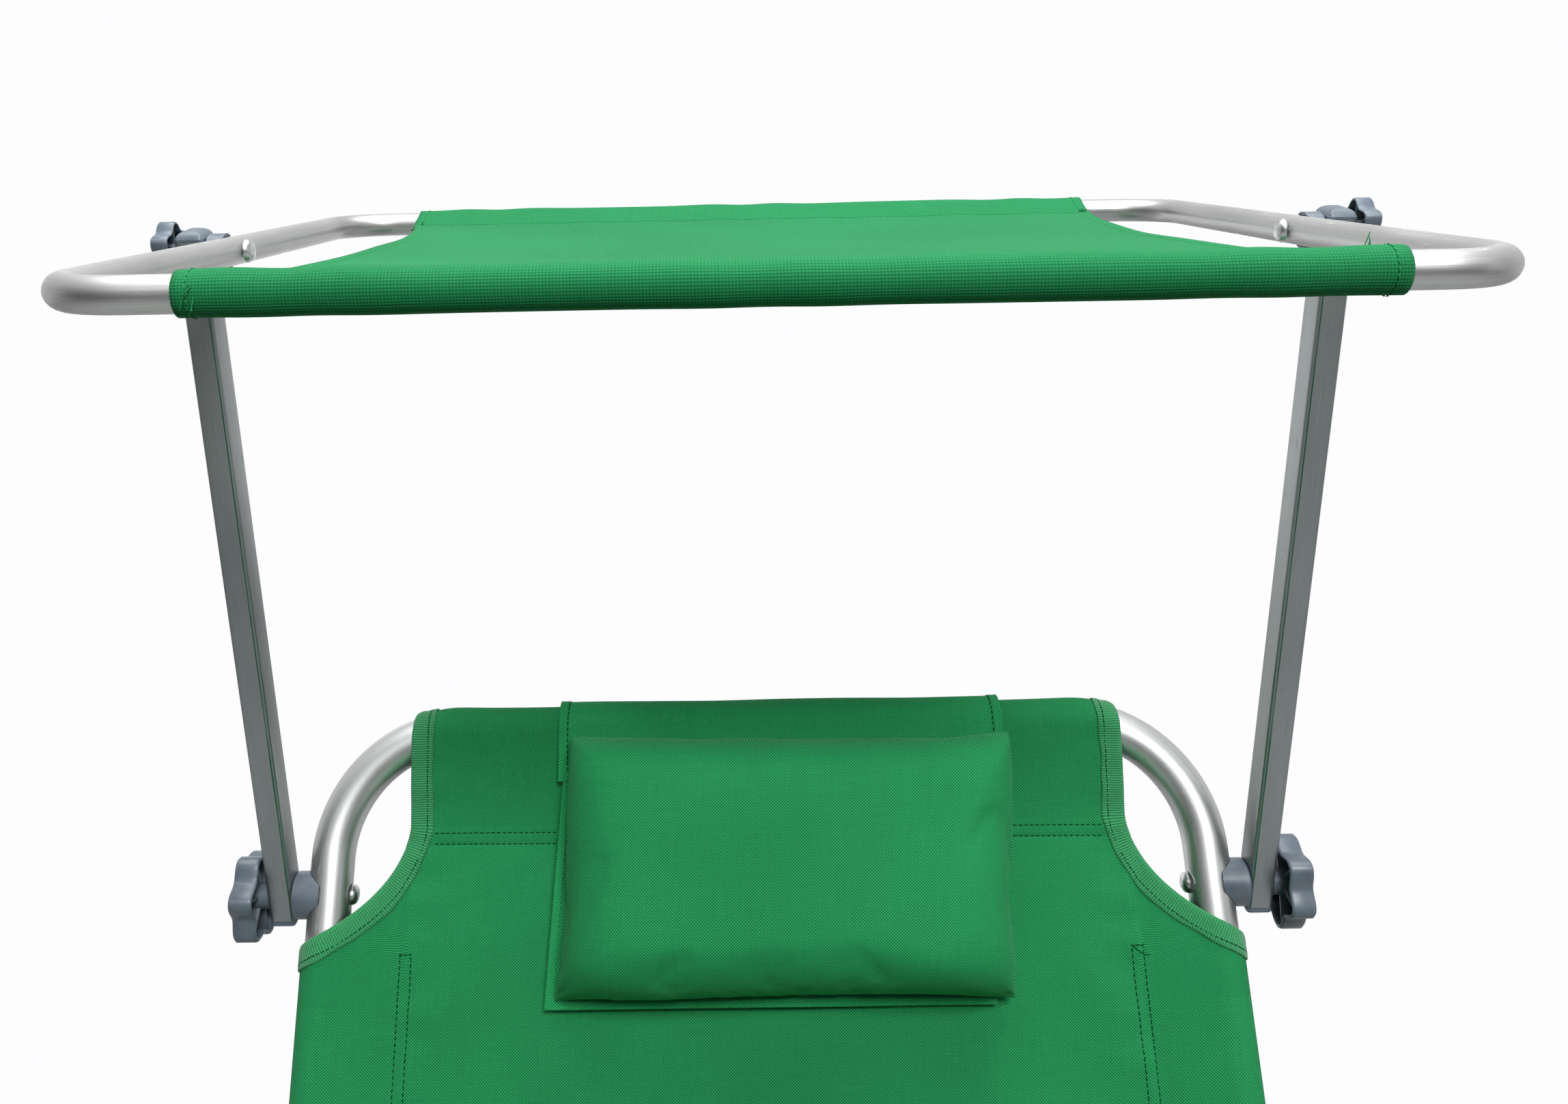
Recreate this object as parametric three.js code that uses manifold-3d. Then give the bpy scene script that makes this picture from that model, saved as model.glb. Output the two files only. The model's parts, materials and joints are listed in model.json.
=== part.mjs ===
// Folding sun lounger with a tilting canopy and a head pillow.
// Millimetres, +Z up. The foot end points along -Y and the head end along +Y.
// The origin lies on the floor, under the middle of the whole object.

import * as THREE from 'three';
import { mergeVertices } from 'three/addons/utils/BufferGeometryUtils.js';
import Module from 'manifold-3d';

const wasm = await Module();
wasm.setup();

// Driving dimensions of the folding frame
const frameWidth = 600;
const tubeDiameter = 28;
const tubeWall = 1.2;
const backLength = 650;
const seatLength = 600;
const footLength = 560;
const headBend = 82;
const footBend = 60;
const seatHeight = 280;
const reclineAngle = 60;

// Ratchet fittings that join the three sections
const ratchetDiameter = 56;
const ratchetThickness = 13;
const ratchetRise = 20;
const ratchetSetback = 40;
const ratchetBevel = 2;
const ratchetRim = 6;
const ratchetRecess = 2;
const ratchetRunning = 0.6;
const collarLength = 8;
const collarStep = 1;
const stubLength = 26;
const hubDiameter = 22;
const hubHeight = 2.4;
const ratchetTeeth = 8;
const toothDepth = 1.6;
const pinDiameter = 8;
const pinHeadDiameter = 17;
const pinHeadHeight = 2.6;

// U-shaped legs, their brackets and their glides
const legDiameter = 25;
const legWall = 1.2;
const legBend = 60;
const legSplay = 20;
const legFold = 108;
const legDrop = 36;
const legEnd = 9;
const seatLegPlace = 66;
const footLegPlace = 460;
const headLegPlace = 390;
const bracketLength = 44;
const bracketPlate = 2;
const bracketFoot = 15;
const bracketRim = 4;
const stopNear = 10;
const stopLength = 13;
const rivetDiameter = 8;
const rivetHeadDiameter = 14;
const rivetHeadHeight = 2;
const glideThickness = 4;
const glideShell = 2.5;
const glideLength = 36;
const glideSole = 20;
const glideInset = 26;

// Fabric slings
const clothThickness = 1.4;
const hingeClear = 3;
const endSeam = 70;
const sideSeam = 48;
const shoulderInset = 52;
const shoulderTop = 62;
const shoulderDrop = 137;
const shoulderPullX = 8;
const shoulderPullY = 25;
const notchClear = 3;

// Pillow and the flap that hangs it over the top tube
const pillowWidth = 290;
const pillowHeight = 164;
const pillowThickness = 64;
const pillowBack = 5;
const pillowPinchShare = 0.045;
const pillowTop = 6;
const pillowShift = 7;
const flapWidth = 286;
const flapFront = 175;
const flapRear = 116;
const flapThickness = 1.6;
const flapLift = 2;

// Canopy arms and their joints
const armGap = 8;
const armWidth = 16;
const armDepth = 20;
const armWall = 1.2;
const armCorner = 2.5;
const armLength = 425;
const armLean = 36.3;
const armPivotDrop = 103;
const armBelow = 13;
const armAbove = 7;
const plugLip = 4;
const plugInsert = 7;
const capHeight = 6;
const capInsert = 3;
const spacerDiameter = 30;
const spacerSaddle = 10;
const canopySpacerDiameter = 20;
const canopySpacerSaddle = 6;
const boltDiameter = 6;
const boltHeadDiameter = 13;
const boltHeadHeight = 4.5;
const boltInKnob = 11;

// Star knobs
const knobDiameter = 59;
const knobLobes = 6;
const knobLobeHeight = 3;
const knobThickness = 16;
const knobStandOff = 4;
const knobWall = 2.4;
const knobTop = 3;
const knobRound = 2.2;
const knobHub = 17;
const knobRib = 1.8;

// Canopy
const canopyGap = 4;
const canopyDepth = 450;
const canopyTube = 16;
const canopyWall = 1.1;
const canopyBend = 38;
const canopyPivot = 221;
const canopyTilt = 84.1;
const canopySplice = 150;
const spliceLength = 30;
const spliceGap = 0.3;
const canopySeam = 27;
const canopyEndInset = 54;
const canopyWaistInset = 82;
const canopySag = 9;

// Clearance between pieces that touch, looser under cloth, and overrun of cutting tools
const clearance = 0.3;
const clothClearance = 0.5;
const overrun = 3;

// Facets
const tubeSides = 10;
const bendSteps = 5;
const smallBendSteps = 4;
const roundSides = 14;
const pinSides = 10;
const knobSteps = 5;
const arcSteps = 5;
const domeSteps = 4;
const sleeveSteps = 8;
const edgeSteps = 8;
const pillowColumns = 16;
const pillowRows = 12;

// Sizes worked out from the driving dimensions
const tubeRadius = tubeDiameter / 2;
const sideX = frameWidth / 2 - tubeRadius;
const legRadius = legDiameter / 2;
const shoulderHalfWidth = sideX - shoulderInset;
const armInner = frameWidth / 2 + armGap;
const armX = armInner + armWidth / 2;
const armOuter = armInner + armWidth;
const canopyRadius = canopyTube / 2;
const canopySideX = armInner - canopyGap;
const canopyX = canopySideX - canopyRadius;
const canopyEndHalfWidth = canopyX - canopyEndInset;
const canopyWaistHalfWidth = canopyX - canopyWaistInset;
const sleeveHollow = tubeRadius + clothClearance;
const sleeveRadius = sleeveHollow + clothThickness;
const canopyHollow = canopyRadius + clothClearance;
const legAngle = THREE.MathUtils.degToRad(90 - legSplay);
const legDown = seatHeight - legDrop - legRadius - glideThickness;
const legLength = legDown / Math.sin(legAngle);

// Materials
const aluminium = new THREE.MeshStandardMaterial({ color: 0xc3c7c9, metalness: 0.9, roughness: 0.34 });
const armAluminium = new THREE.MeshStandardMaterial({ color: 0xa9b0ae, metalness: 0.85, roughness: 0.38 });
const steel = new THREE.MeshStandardMaterial({ color: 0xb9babb, metalness: 1, roughness: 0.28 });
const slatePlastic = new THREE.MeshStandardMaterial({ color: 0x59636e, metalness: 0, roughness: 0.45 });
const greenCloth = new THREE.MeshStandardMaterial({ color: 0x18873f, metalness: 0, roughness: 0.85 });
const canopyCloth = new THREE.MeshStandardMaterial({ color: 0x2f9d58, metalness: 0, roughness: 0.8 });

// A closed geometry as a solid for joining and cutting.
function solidOf(geometry) {
  const bare = geometry.index ? geometry.toNonIndexed() : geometry.clone();
  bare.deleteAttribute('normal');
  bare.deleteAttribute('uv');
  const merged = mergeVertices(bare, 1e-4);
  return new wasm.Manifold(new wasm.Mesh({
    numProp: 3,
    vertProperties: new Float32Array(merged.attributes.position.array),
    triVerts: new Uint32Array(merged.index.array),
  }));
}

// A solid as a geometry again.
function geometryOf(solid) {
  const mesh = solid.getMesh();
  const geometry = new THREE.BufferGeometry();
  geometry.setAttribute('position', new THREE.BufferAttribute(new Float32Array(mesh.vertProperties), mesh.numProp));
  geometry.setIndex(new THREE.BufferAttribute(new Uint32Array(mesh.triVerts), 1));
  geometry.computeVertexNormals();
  return geometry;
}

function joined(...geometries) {
  return geometryOf(geometries.map(solidOf).reduce((a, b) => a.add(b)));
}

function carved(geometry, ...tools) {
  return geometryOf(tools.map(solidOf).reduce((a, b) => a.subtract(b), solidOf(geometry)));
}

function shared(first, second) {
  return geometryOf(solidOf(first).intersect(solidOf(second)));
}

// The same geometry on the other side of the plane X = 0, still facing out.
function mirrored(geometry) {
  const copy = (geometry.index ? geometry.toNonIndexed() : geometry.clone()).scale(-1, 1, 1);
  const place = copy.attributes.position;
  const first = new THREE.Vector3();
  const last = new THREE.Vector3();
  for (let i = 0; i < place.count; i += 3) {
    first.fromBufferAttribute(place, i);
    last.fromBufferAttribute(place, i + 2);
    place.setXYZ(i, last.x, last.y, last.z);
    place.setXYZ(i + 2, first.x, first.y, first.z);
  }
  copy.computeVertexNormals();
  return copy;
}

// A round rod along X between two values of x.
function rodX(radius, from, to, sides = pinSides) {
  return new THREE.CylinderGeometry(radius, radius, to - from, sides)
    .rotateZ(Math.PI / 2)
    .translate((from + to) / 2, 0, 0);
}

// A round rod along Y between two values of y.
function rodY(radius, from, to, sides = roundSides) {
  return new THREE.CylinderGeometry(radius, radius, to - from, sides).translate(0, (from + to) / 2, 0);
}

// A box between two corners.
function block(low, high) {
  const size = high.map((value, i) => value - low[i]);
  const middle = high.map((value, i) => (value + low[i]) / 2);
  return new THREE.BoxGeometry(...size).translate(...middle);
}

// A revolved piece whose axis is X; each point of the profile is [radius, x].
function turnedX(profile, sides) {
  const points = profile.map(([radius, x]) => new THREE.Vector2(radius, x));
  const turned = new THREE.LatheGeometry(points, sides).rotateZ(-Math.PI / 2);
  return facingOut(turned);
}

// Turns every face round where the volume comes out negative.
function facingOut(geometry) {
  const bare = geometry.index ? geometry.toNonIndexed() : geometry.clone();
  const place = bare.attributes.position;
  const a = new THREE.Vector3();
  const b = new THREE.Vector3();
  const c = new THREE.Vector3();
  const kept = [];
  let volume = 0;
  for (let i = 0; i < place.count; i += 3) {
    a.fromBufferAttribute(place, i);
    b.fromBufferAttribute(place, i + 1);
    c.fromBufferAttribute(place, i + 2);
    if (a.distanceTo(b) * b.distanceTo(c) * c.distanceTo(a) < 1e-12) continue;
    volume += a.dot(b.clone().cross(c));
    kept.push([a.clone(), b.clone(), c.clone()]);
  }
  const corners = kept.flatMap(([p, q, r]) => (volume < 0 ? [r, q, p] : [p, q, r]));
  return new THREE.BufferGeometry().setFromPoints(corners);
}

// An outline in the plane of Y (first) and Z (second), carried along X between two values.
function alongX(outline, from, to, curveSegments = 12) {
  return new THREE.ExtrudeGeometry(outline, { depth: to - from, bevelEnabled: false, curveSegments })
    .rotateY(Math.PI / 2)
    .rotateX(Math.PI / 2)
    .translate(from, 0, 0);
}

// The same with a section at each of several values of x, moved along Y there by shift(x).
function throughX(outline, stations, shift) {
  const steps = stations.length - 1;
  const swept = new THREE.ExtrudeGeometry(outline, { depth: steps, steps, bevelEnabled: false })
    .rotateY(Math.PI / 2)
    .rotateX(Math.PI / 2);
  const place = swept.attributes.position;
  for (let i = 0; i < place.count; i += 1) {
    const x = stations[Math.round(place.getX(i))];
    place.setXYZ(i, x, place.getY(i) + shift(x), place.getZ(i));
  }
  return swept;
}

// An outline in the plane of X (first) and Z (second), carried along Y between two values.
function alongY(outline, from, to) {
  return new THREE.ExtrudeGeometry(outline, { depth: to - from, bevelEnabled: false, curveSegments: arcSteps })
    .rotateX(Math.PI / 2)
    .translate(0, to, 0);
}

// An outline in the plane of X and Y, carried along Z between two values.
function alongZ(outline, from, to) {
  return new THREE.ExtrudeGeometry(outline, { depth: to - from, bevelEnabled: false })
    .translate(0, 0, from);
}

// An outline through points, turned anticlockwise so that the holes in it come out right.
function outlineOf(points) {
  const corners = points.map(([x, y]) => new THREE.Vector2(x, y));
  return new THREE.Shape(THREE.ShapeUtils.isClockWise(corners) ? corners.reverse() : corners);
}

// A route given by its stations and the directions there, so that bends get the stations that they need.
class Route extends THREE.Curve {
  constructor(stations) {
    super();
    this.stations = stations;
  }

  station(share) {
    return this.stations[Math.round(share * (this.stations.length - 1))];
  }

  getPointAt(share) {
    return this.station(share).point.clone();
  }

  getTangentAt(share) {
    return this.station(share).direction.clone();
  }
}

// A U in the plane of X and Y: up the left side from y = start, round to y = end, and down the right side.
function uRoute(halfWidth, start, end, bend, steps) {
  const stations = [];
  const add = (x, y, dx, dy) => stations.push({
    point: new THREE.Vector3(x, y, 0),
    direction: new THREE.Vector3(dx, dy, 0),
  });
  add(-halfWidth, start, 0, 1);
  for (const [side, turn] of [[-1, Math.PI], [1, Math.PI / 2]]) {
    for (let i = 0; i <= steps; i += 1) {
      const angle = turn - (i / steps) * (Math.PI / 2);
      add(
        side * (halfWidth - bend) + bend * Math.cos(angle),
        end - bend + bend * Math.sin(angle),
        Math.sin(angle),
        -Math.cos(angle),
      );
    }
  }
  add(halfWidth, start, 0, -1);
  return new Route(stations);
}

// A round section, hollow where it has a wall.
function roundSection(radius, wall) {
  const ring = new THREE.Shape().absarc(0, 0, radius, 0, 2 * Math.PI);
  if (wall) ring.holes.push(new THREE.Path().absarc(0, 0, radius - wall, 0, 2 * Math.PI, true));
  return ring;
}

// A round tube, or a solid bar without a wall, along a route.
function tubeAlong(route, radius, wall) {
  const ring = roundSection(radius, wall);
  return new THREE.ExtrudeGeometry(ring, {
    steps: route.stations.length - 1,
    extrudePath: route,
    curveSegments: tubeSides / 2,
    bevelEnabled: false,
  });
}

// A straight hollow tube along Y.
function straightTube(radius, wall, from, to) {
  const ring = roundSection(radius, wall);
  return new THREE.ExtrudeGeometry(ring, { depth: to - from, curveSegments: tubeSides / 2, bevelEnabled: false })
    .rotateX(Math.PI / 2)
    .translate(0, to, 0);
}

function mesh(group, name, geometry, material) {
  const piece = new THREE.Mesh(geometry, material);
  piece.name = name;
  group.add(piece);
  return piece;
}

// Two meshes, one on each side. In a group that is turned end for end, right and left change places.
function pair(group, name, geometry, material, turned = false) {
  const right = mesh(group, `${name}_${turned ? 'left' : 'right'}`, geometry, material);
  const left = mesh(group, `${name}_${turned ? 'right' : 'left'}`, mirrored(geometry), material);
  return [right, left];
}

// The same geometry turned to point along -Y, still on its own side of the plane X = 0.
function backward(geometry) {
  return mirrored(geometry).rotateZ(Math.PI);
}

function groupIn(parent, x, y, z) {
  const group = new THREE.Group();
  group.position.set(x, y, z);
  parent.add(group);
  return group;
}

// One half of a ratchet fitting. The axis is X at y = 0, ratchetRise above the tube's middle.
// The half lies outside or inside the plane through the side tube, and plugs into the tube along +Y.
function ratchetHalf(outside) {
  const near = ratchetRunning / 2;
  const far = near + ratchetThickness;
  const radius = ratchetDiameter / 2;
  const disc = turnedX([
    [0, near],
    [radius, near],
    [radius, far - ratchetBevel],
    [radius - ratchetBevel, far],
    [radius - ratchetRim, far],
    [radius - ratchetRim - ratchetRecess, far - ratchetRecess],
    [0, far - ratchetRecess],
  ], roundSides).translate(0, 0, ratchetRise);
  const hub = rodX(hubDiameter / 2, far - ratchetRecess - ratchetBevel, far - ratchetRecess + hubHeight)
    .translate(0, 0, ratchetRise);
  const neckTop = ratchetRise + radius / 2;
  const neck = alongX(outlineOf([
    [0, ratchetRise - radius + ratchetBevel],
    [ratchetSetback - collarLength + overrun, -tubeRadius],
    [ratchetSetback - collarLength + overrun, tubeRadius],
    [radius / 2, neckTop],
    [0, neckTop],
  ]), near, far - ratchetBevel);
  const collar = rodY(tubeRadius + collarStep, ratchetSetback - collarLength, ratchetSetback - clearance);
  const stub = rodY(
    tubeRadius - tubeWall - clearance - collarStep / 2,
    ratchetSetback - collarLength / 2,
    ratchetSetback + stubLength,
    tubeSides,
  );
  const bore = rodX(pinDiameter / 2 + clearance, -overrun, far + hubHeight + overrun)
    .translate(0, 0, ratchetRise);
  const teeth = [];
  for (let i = 0; outside && i < ratchetTeeth; i += 1) {
    teeth.push(block(
      [far - ratchetRecess - toothDepth, -ratchetRecess / 2, hubDiameter / 2 + ratchetBevel],
      [far - ratchetRecess + overrun, ratchetRecess / 2, radius - ratchetRim - ratchetRecess - ratchetBevel],
    ).rotateX((i * 2 * Math.PI) / ratchetTeeth).translate(0, 0, ratchetRise));
  }
  const half = carved(joined(disc, hub, neck, collar, stub), bore, ...teeth);
  return (outside ? half : mirrored(half)).translate(sideX, 0, 0);
}

// The rivet that a ratchet turns on, with a low head at each end.
function ratchetPin() {
  const reach = ratchetRunning / 2 + ratchetThickness - ratchetRecess + hubHeight + clearance;
  const radius = pinDiameter / 2;
  const head = pinHeadDiameter / 2;
  return turnedX([
    [0, -reach - pinHeadHeight],
    [head / 2, -reach - pinHeadHeight],
    [head, -reach - pinHeadHeight / 2],
    [head, -reach],
    [radius, -reach],
    [radius, reach],
    [head, reach],
    [head, reach + pinHeadHeight / 2],
    [head / 2, reach + pinHeadHeight],
    [0, reach + pinHeadHeight],
  ], pinSides).translate(sideX, 0, ratchetRise);
}

// A folded steel bracket under a side tube, with the leg's rivet and the stop that holds the opened leg.
function legBracket() {
  const inside = tubeRadius + clearance;
  const outside = inside + bracketPlate;
  const foot = -legDrop - stopNear - stopLength - bracketPlate;
  const section = new THREE.Shape();
  section.moveTo(outside, bracketRim);
  section.lineTo(inside, bracketRim);
  section.lineTo(inside, 0);
  section.absarc(0, 0, inside, 0, -Math.PI, true);
  section.lineTo(-inside, bracketRim);
  section.lineTo(-outside, bracketRim);
  section.lineTo(-outside, foot);
  section.lineTo(-inside, foot);
  const meet = Math.acos(inside / outside);
  section.absarc(0, 0, outside, Math.PI + meet, 2 * Math.PI - meet, false);
  section.lineTo(inside, foot);
  section.lineTo(outside, foot);
  const folded = alongY(section, -bracketLength / 2, bracketLength / 2);
  const lean = (-foot - legDrop) * Math.tan(Math.PI / 2 - legAngle);
  const side = alongX(outlineOf([
    [-bracketLength / 2, bracketRim],
    [-bracketLength / 2, -tubeRadius],
    [-bracketFoot, -legDrop],
    [-bracketFoot + lean, foot],
    [bracketFoot + lean + bracketPlate, foot],
    [bracketLength / 2, -tubeRadius],
    [bracketLength / 2, bracketRim],
  ]), -outside - overrun, outside + overrun);
  const stop = block(
    [-inside - bracketPlate / 2, stopNear, legRadius + clearance],
    [inside + bracketPlate / 2, stopNear + stopLength, legRadius + clearance + bracketPlate],
  ).rotateX(-legAngle).translate(0, 0, -legDrop);
  const reach = outside + rivetHeadHeight;
  const rivet = joined(
    rodX(rivetDiameter / 2, -reach, reach),
    rodX(rivetHeadDiameter / 2, outside - bracketPlate / 2, reach),
    rodX(rivetHeadDiameter / 2, -reach, -outside + bracketPlate / 2),
  ).translate(0, 0, -legDrop);
  return joined(shared(folded, side), stop, rivet).translate(sideX, 0, 0);
}

// A U-shaped leg. Its rivets are on the X axis, and it runs along +Y to its floor bar.
function legGeometry() {
  const tube = tubeAlong(uRoute(sideX, -legEnd, legLength, legBend, smallBendSteps), legRadius, legWall);
  return carved(tube, rodX(rivetDiameter / 2 + clearance, -sideX - legDiameter, sideX + legDiameter));
}

// A plastic glide round the floor bar, with a flat sole under it.
function glideGeometry() {
  const shell = legRadius + glideShell;
  const ring = rodX(shell, -glideLength / 2, glideLength / 2, roundSides);
  const sole = block(
    [-glideLength / 2, -glideSole / 2, -legRadius - glideThickness],
    [glideLength / 2, glideSole / 2, -legRadius / 2],
  );
  const bore = rodX(legRadius + clearance, -glideLength, glideLength, tubeSides * 2);
  return carved(joined(ring, sole), bore);
}

// A leg with its glides, in a group that turns on the rivets.
function addLeg(parent, name, place, angle, turned) {
  const group = groupIn(parent, 0, place, -legDrop);
  group.rotation.x = -angle;
  mesh(group, `${name}_leg`, legGeometry(), aluminium);
  pair(group, `${name}_glide`, glideGeometry(), slatePlastic, turned).forEach((piece, i) => {
    piece.position.set((1 - 2 * i) * (sideX - legBend - glideInset), legLength, 0);
    piece.rotation.x = legAngle;
  });
}

// The slope of the tangent from a point, reach away and lift above the tube's middle, to a circle round it.
function tangentLean(reach, lift, radius) {
  return Math.asin(radius / Math.hypot(reach, lift)) - Math.atan2(lift, reach);
}

// Points round a sleeve: from the seam over the tube and back under it to the seam.
// The tube's middle is at `middle`, and the seam lies `reach` away on the side of `way`.
function sleevePoints(middle, reach, way, radius, half) {
  const lean = tangentLean(reach, half, radius);
  const points = [];
  for (let i = 0; i <= sleeveSteps; i += 1) {
    const angle = Math.PI / 2 + lean - (i / sleeveSteps) * (Math.PI + 2 * lean);
    points.push([middle - way * radius * Math.cos(angle), radius * Math.sin(angle)]);
  }
  return points;
}

// The hollow inside a sleeve, as a hole in an outline.
function sleeveHole(middle, reach, way, radius) {
  const points = [[middle + way * reach, 0], ...sleevePoints(middle, reach, way, radius, 0)];
  return new THREE.Path(points.map(([x, y]) => new THREE.Vector2(x, y)));
}

// A side-to-side section of a sling: a sleeve round each side tube and a taut web between them.
function slingSection() {
  const half = clothThickness / 2;
  const right = sleevePoints(sideX, sideSeam, -1, sleeveRadius, half);
  const left = sleevePoints(-sideX, sideSeam, 1, sleeveRadius, half).reverse();
  const section = outlineOf([
    [sideX - sideSeam, half],
    ...right,
    [sideX - sideSeam, -half],
    [-sideX + sideSeam, -half],
    ...left,
    [-sideX + sideSeam, half],
  ]);
  for (const side of [-1, 1]) {
    section.holes.push(sleeveHole(side * sideX, sideSeam - clothThickness, -side, sleeveHollow));
  }
  return section;
}

// Blocks that cut the cloth away on both sides, from |x| = inner outwards.
function sideNotches(inner, from, to, top) {
  return [-1, 1].map((side) => block(
    [Math.min(side * inner, side * frameWidth), from, -frameWidth],
    [Math.max(side * inner, side * frameWidth), to, top],
  ));
}

// The cloth is open round a leg bracket, except on top of the tube.
function bracketNotches(place) {
  const half = bracketLength / 2 + notchClear;
  const inner = sideX - sleeveHollow - bracketPlate - notchClear;
  return sideNotches(inner, place - half, place + half, bracketRim + notchClear);
}

// The sleeves stop short of the ratchets, and the web runs on between them.
function ratchetNotches(from, to) {
  const inner = sideX - ratchetThickness - pinHeadHeight - 2 * notchClear;
  return sideNotches(inner, from, to, frameWidth);
}

// A sling whose far end is sleeved round the tube at y = length, with its two corners cut out in a curve.
function endSling(length, bend, legPlace) {
  const half = clothThickness / 2;
  const reach = tubeRadius + sleeveRadius;
  const body = alongY(slingSection(), hingeClear, length - shoulderTop + half);
  const end = outlineOf([
    [length - endSeam - sideSeam, half],
    [length - endSeam, half],
    ...sleevePoints(length, endSeam, -1, sleeveRadius, half),
    [length - endSeam, -half],
    [length - endSeam - sideSeam, -half],
  ]);
  end.holes.push(sleeveHole(length, endSeam - clothThickness, -1, sleeveHollow));
  const straight = sideX - bend;
  const last = shoulderHalfWidth + overrun;
  const turn = [0, 1, 2, 3].map((i) => straight + ((last - straight) * i) / 3);
  const drop = (x) => Math.sqrt(bend ** 2 - Math.max(Math.abs(x) - straight, 0) ** 2) - bend;
  const sleeve = throughX(end, [...turn.map((x) => -x).reverse(), ...turn], drop);
  const plan = new THREE.Shape();
  const low = length - shoulderDrop;
  const high = length - shoulderTop;
  plan.moveTo(-frameWidth, 0);
  plan.lineTo(frameWidth, 0);
  plan.lineTo(frameWidth, low);
  plan.lineTo(sideX + sleeveRadius, low);
  plan.quadraticCurveTo(shoulderHalfWidth + shoulderPullX, low + shoulderPullY, shoulderHalfWidth, high);
  plan.lineTo(shoulderHalfWidth, length + reach);
  plan.lineTo(-shoulderHalfWidth, length + reach);
  plan.lineTo(-shoulderHalfWidth, high);
  plan.quadraticCurveTo(-shoulderHalfWidth - shoulderPullX, low + shoulderPullY, -sideX - sleeveRadius, low);
  plan.lineTo(-frameWidth, low);
  const cutter = new THREE.ExtrudeGeometry(plan, {
    depth: 2 * reach,
    curveSegments: edgeSteps,
    bevelEnabled: false,
  }).translate(0, 0, -reach);
  const frame = tubeAlong(uRoute(sideX, length - footLength / 2, length, bend, bendSteps), tubeRadius + clearance);
  return carved(
    shared(joined(body, sleeve), cutter),
    frame,
    ...ratchetNotches(-overrun, ratchetSetback + notchClear),
    ...bracketNotches(legPlace),
  );
}

// The sling between the two hinge lines.
function middleSling() {
  const stop = ratchetSetback + notchClear;
  return carved(
    alongY(slingSection(), -seatLength + hingeClear, -hingeClear),
    ...ratchetNotches(-stop, overrun),
    ...ratchetNotches(-seatLength - overrun, -seatLength + stop),
    ...bracketNotches(-seatLegPlace),
  );
}

// The pillow: a stuffed form with a full crown, sides drawn in between its corners and a flatter back.
function pillowGeometry() {
  const fullness = (s) => Math.sqrt(1 - s ** 4);
  const bow = (s) => 1 - pillowPinchShare * (1 - s ** 2);
  const spread = (i, count) => Math.sin(((2 * i) / count - 1) * (Math.PI / 2));
  const points = [];
  const grid = (front) => {
    const rows = [];
    for (let j = 0; j <= pillowRows; j += 1) {
      const t = spread(j, pillowRows);
      const row = [];
      for (let i = 0; i <= pillowColumns; i += 1) {
        const s = spread(i, pillowColumns);
        const rise = fullness(s) * fullness(t);
        const height = front ? pillowBack + pillowThickness * rise : pillowBack * (1 - Math.sqrt(rise));
        const onEdge = i === 0 || j === 0 || i === pillowColumns || j === pillowRows;
        row.push(new THREE.Vector3(
          (pillowWidth / 2) * s * bow(t),
          (pillowHeight / 2) * t * bow(s),
          onEdge ? pillowBack : height,
        ));
      }
      rows.push(row);
    }
    return rows;
  };
  for (const front of [true, false]) {
    const rows = grid(front);
    for (let j = 0; j < pillowRows; j += 1) {
      for (let i = 0; i < pillowColumns; i += 1) {
        const [a, b, c, d] = [rows[j][i], rows[j][i + 1], rows[j + 1][i + 1], rows[j + 1][i]];
        points.push(...(front ? [a, b, c, a, c, d] : [a, c, b, a, d, c]));
      }
    }
  }
  return facingOut(new THREE.BufferGeometry().setFromPoints(points));
}

// The flap's middle line round the top tube: up the front, over the tube and down the back.
const flapRadius = sleeveRadius + clearance + flapThickness / 2;
const flapEndLift = clothThickness + flapLift;

function flapLine() {
  const line = [];
  for (const [reach, way] of [[flapFront, 1], [flapRear, -1]]) {
    const lean = tangentLean(reach, flapEndLift, flapRadius);
    const part = [[-reach, way * flapEndLift]];
    for (let i = 0; i <= sleeveSteps / 2; i += 1) {
      const angle = Math.PI / 2 + lean - (i / (sleeveSteps / 2)) * (Math.PI / 2 + lean);
      part.push([flapRadius * Math.cos(angle), way * flapRadius * Math.sin(angle)]);
    }
    line.push(...(way > 0 ? part : part.reverse().slice(1)));
  }
  return line;
}

// A strip of constant thickness along a line of points, as an outline.
function stripOutline(line, thickness) {
  const side = (way) => line.map(([y, z], i) => {
    const before = line[Math.max(i - 1, 0)];
    const after = line[Math.min(i + 1, line.length - 1)];
    const run = Math.hypot(after[0] - before[0], after[1] - before[1]);
    return [
      y - (way * (thickness / 2) * (after[1] - before[1])) / run,
      z + (way * (thickness / 2) * (after[0] - before[0])) / run,
    ];
  });
  return outlineOf([...side(1), ...side(-1).reverse()]);
}

// A rounded rectangle round the origin.
function roundedRectangle(width, depth, corner) {
  const x = width / 2 - corner;
  const y = depth / 2 - corner;
  const shape = new THREE.Shape();
  shape.absarc(x, y, corner, 0, Math.PI / 2);
  shape.absarc(-x, y, corner, Math.PI / 2, Math.PI);
  shape.absarc(-x, -y, corner, Math.PI, 1.5 * Math.PI);
  shape.absarc(x, -y, corner, 1.5 * Math.PI, 2 * Math.PI);
  return shape;
}

function barAlongY(width, depth, corner, from, to) {
  return new THREE.ExtrudeGeometry(roundedRectangle(width, depth, corner), {
    depth: to - from,
    curveSegments: 1,
    bevelEnabled: false,
  }).rotateX(Math.PI / 2).translate(0, to, 0);
}

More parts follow.
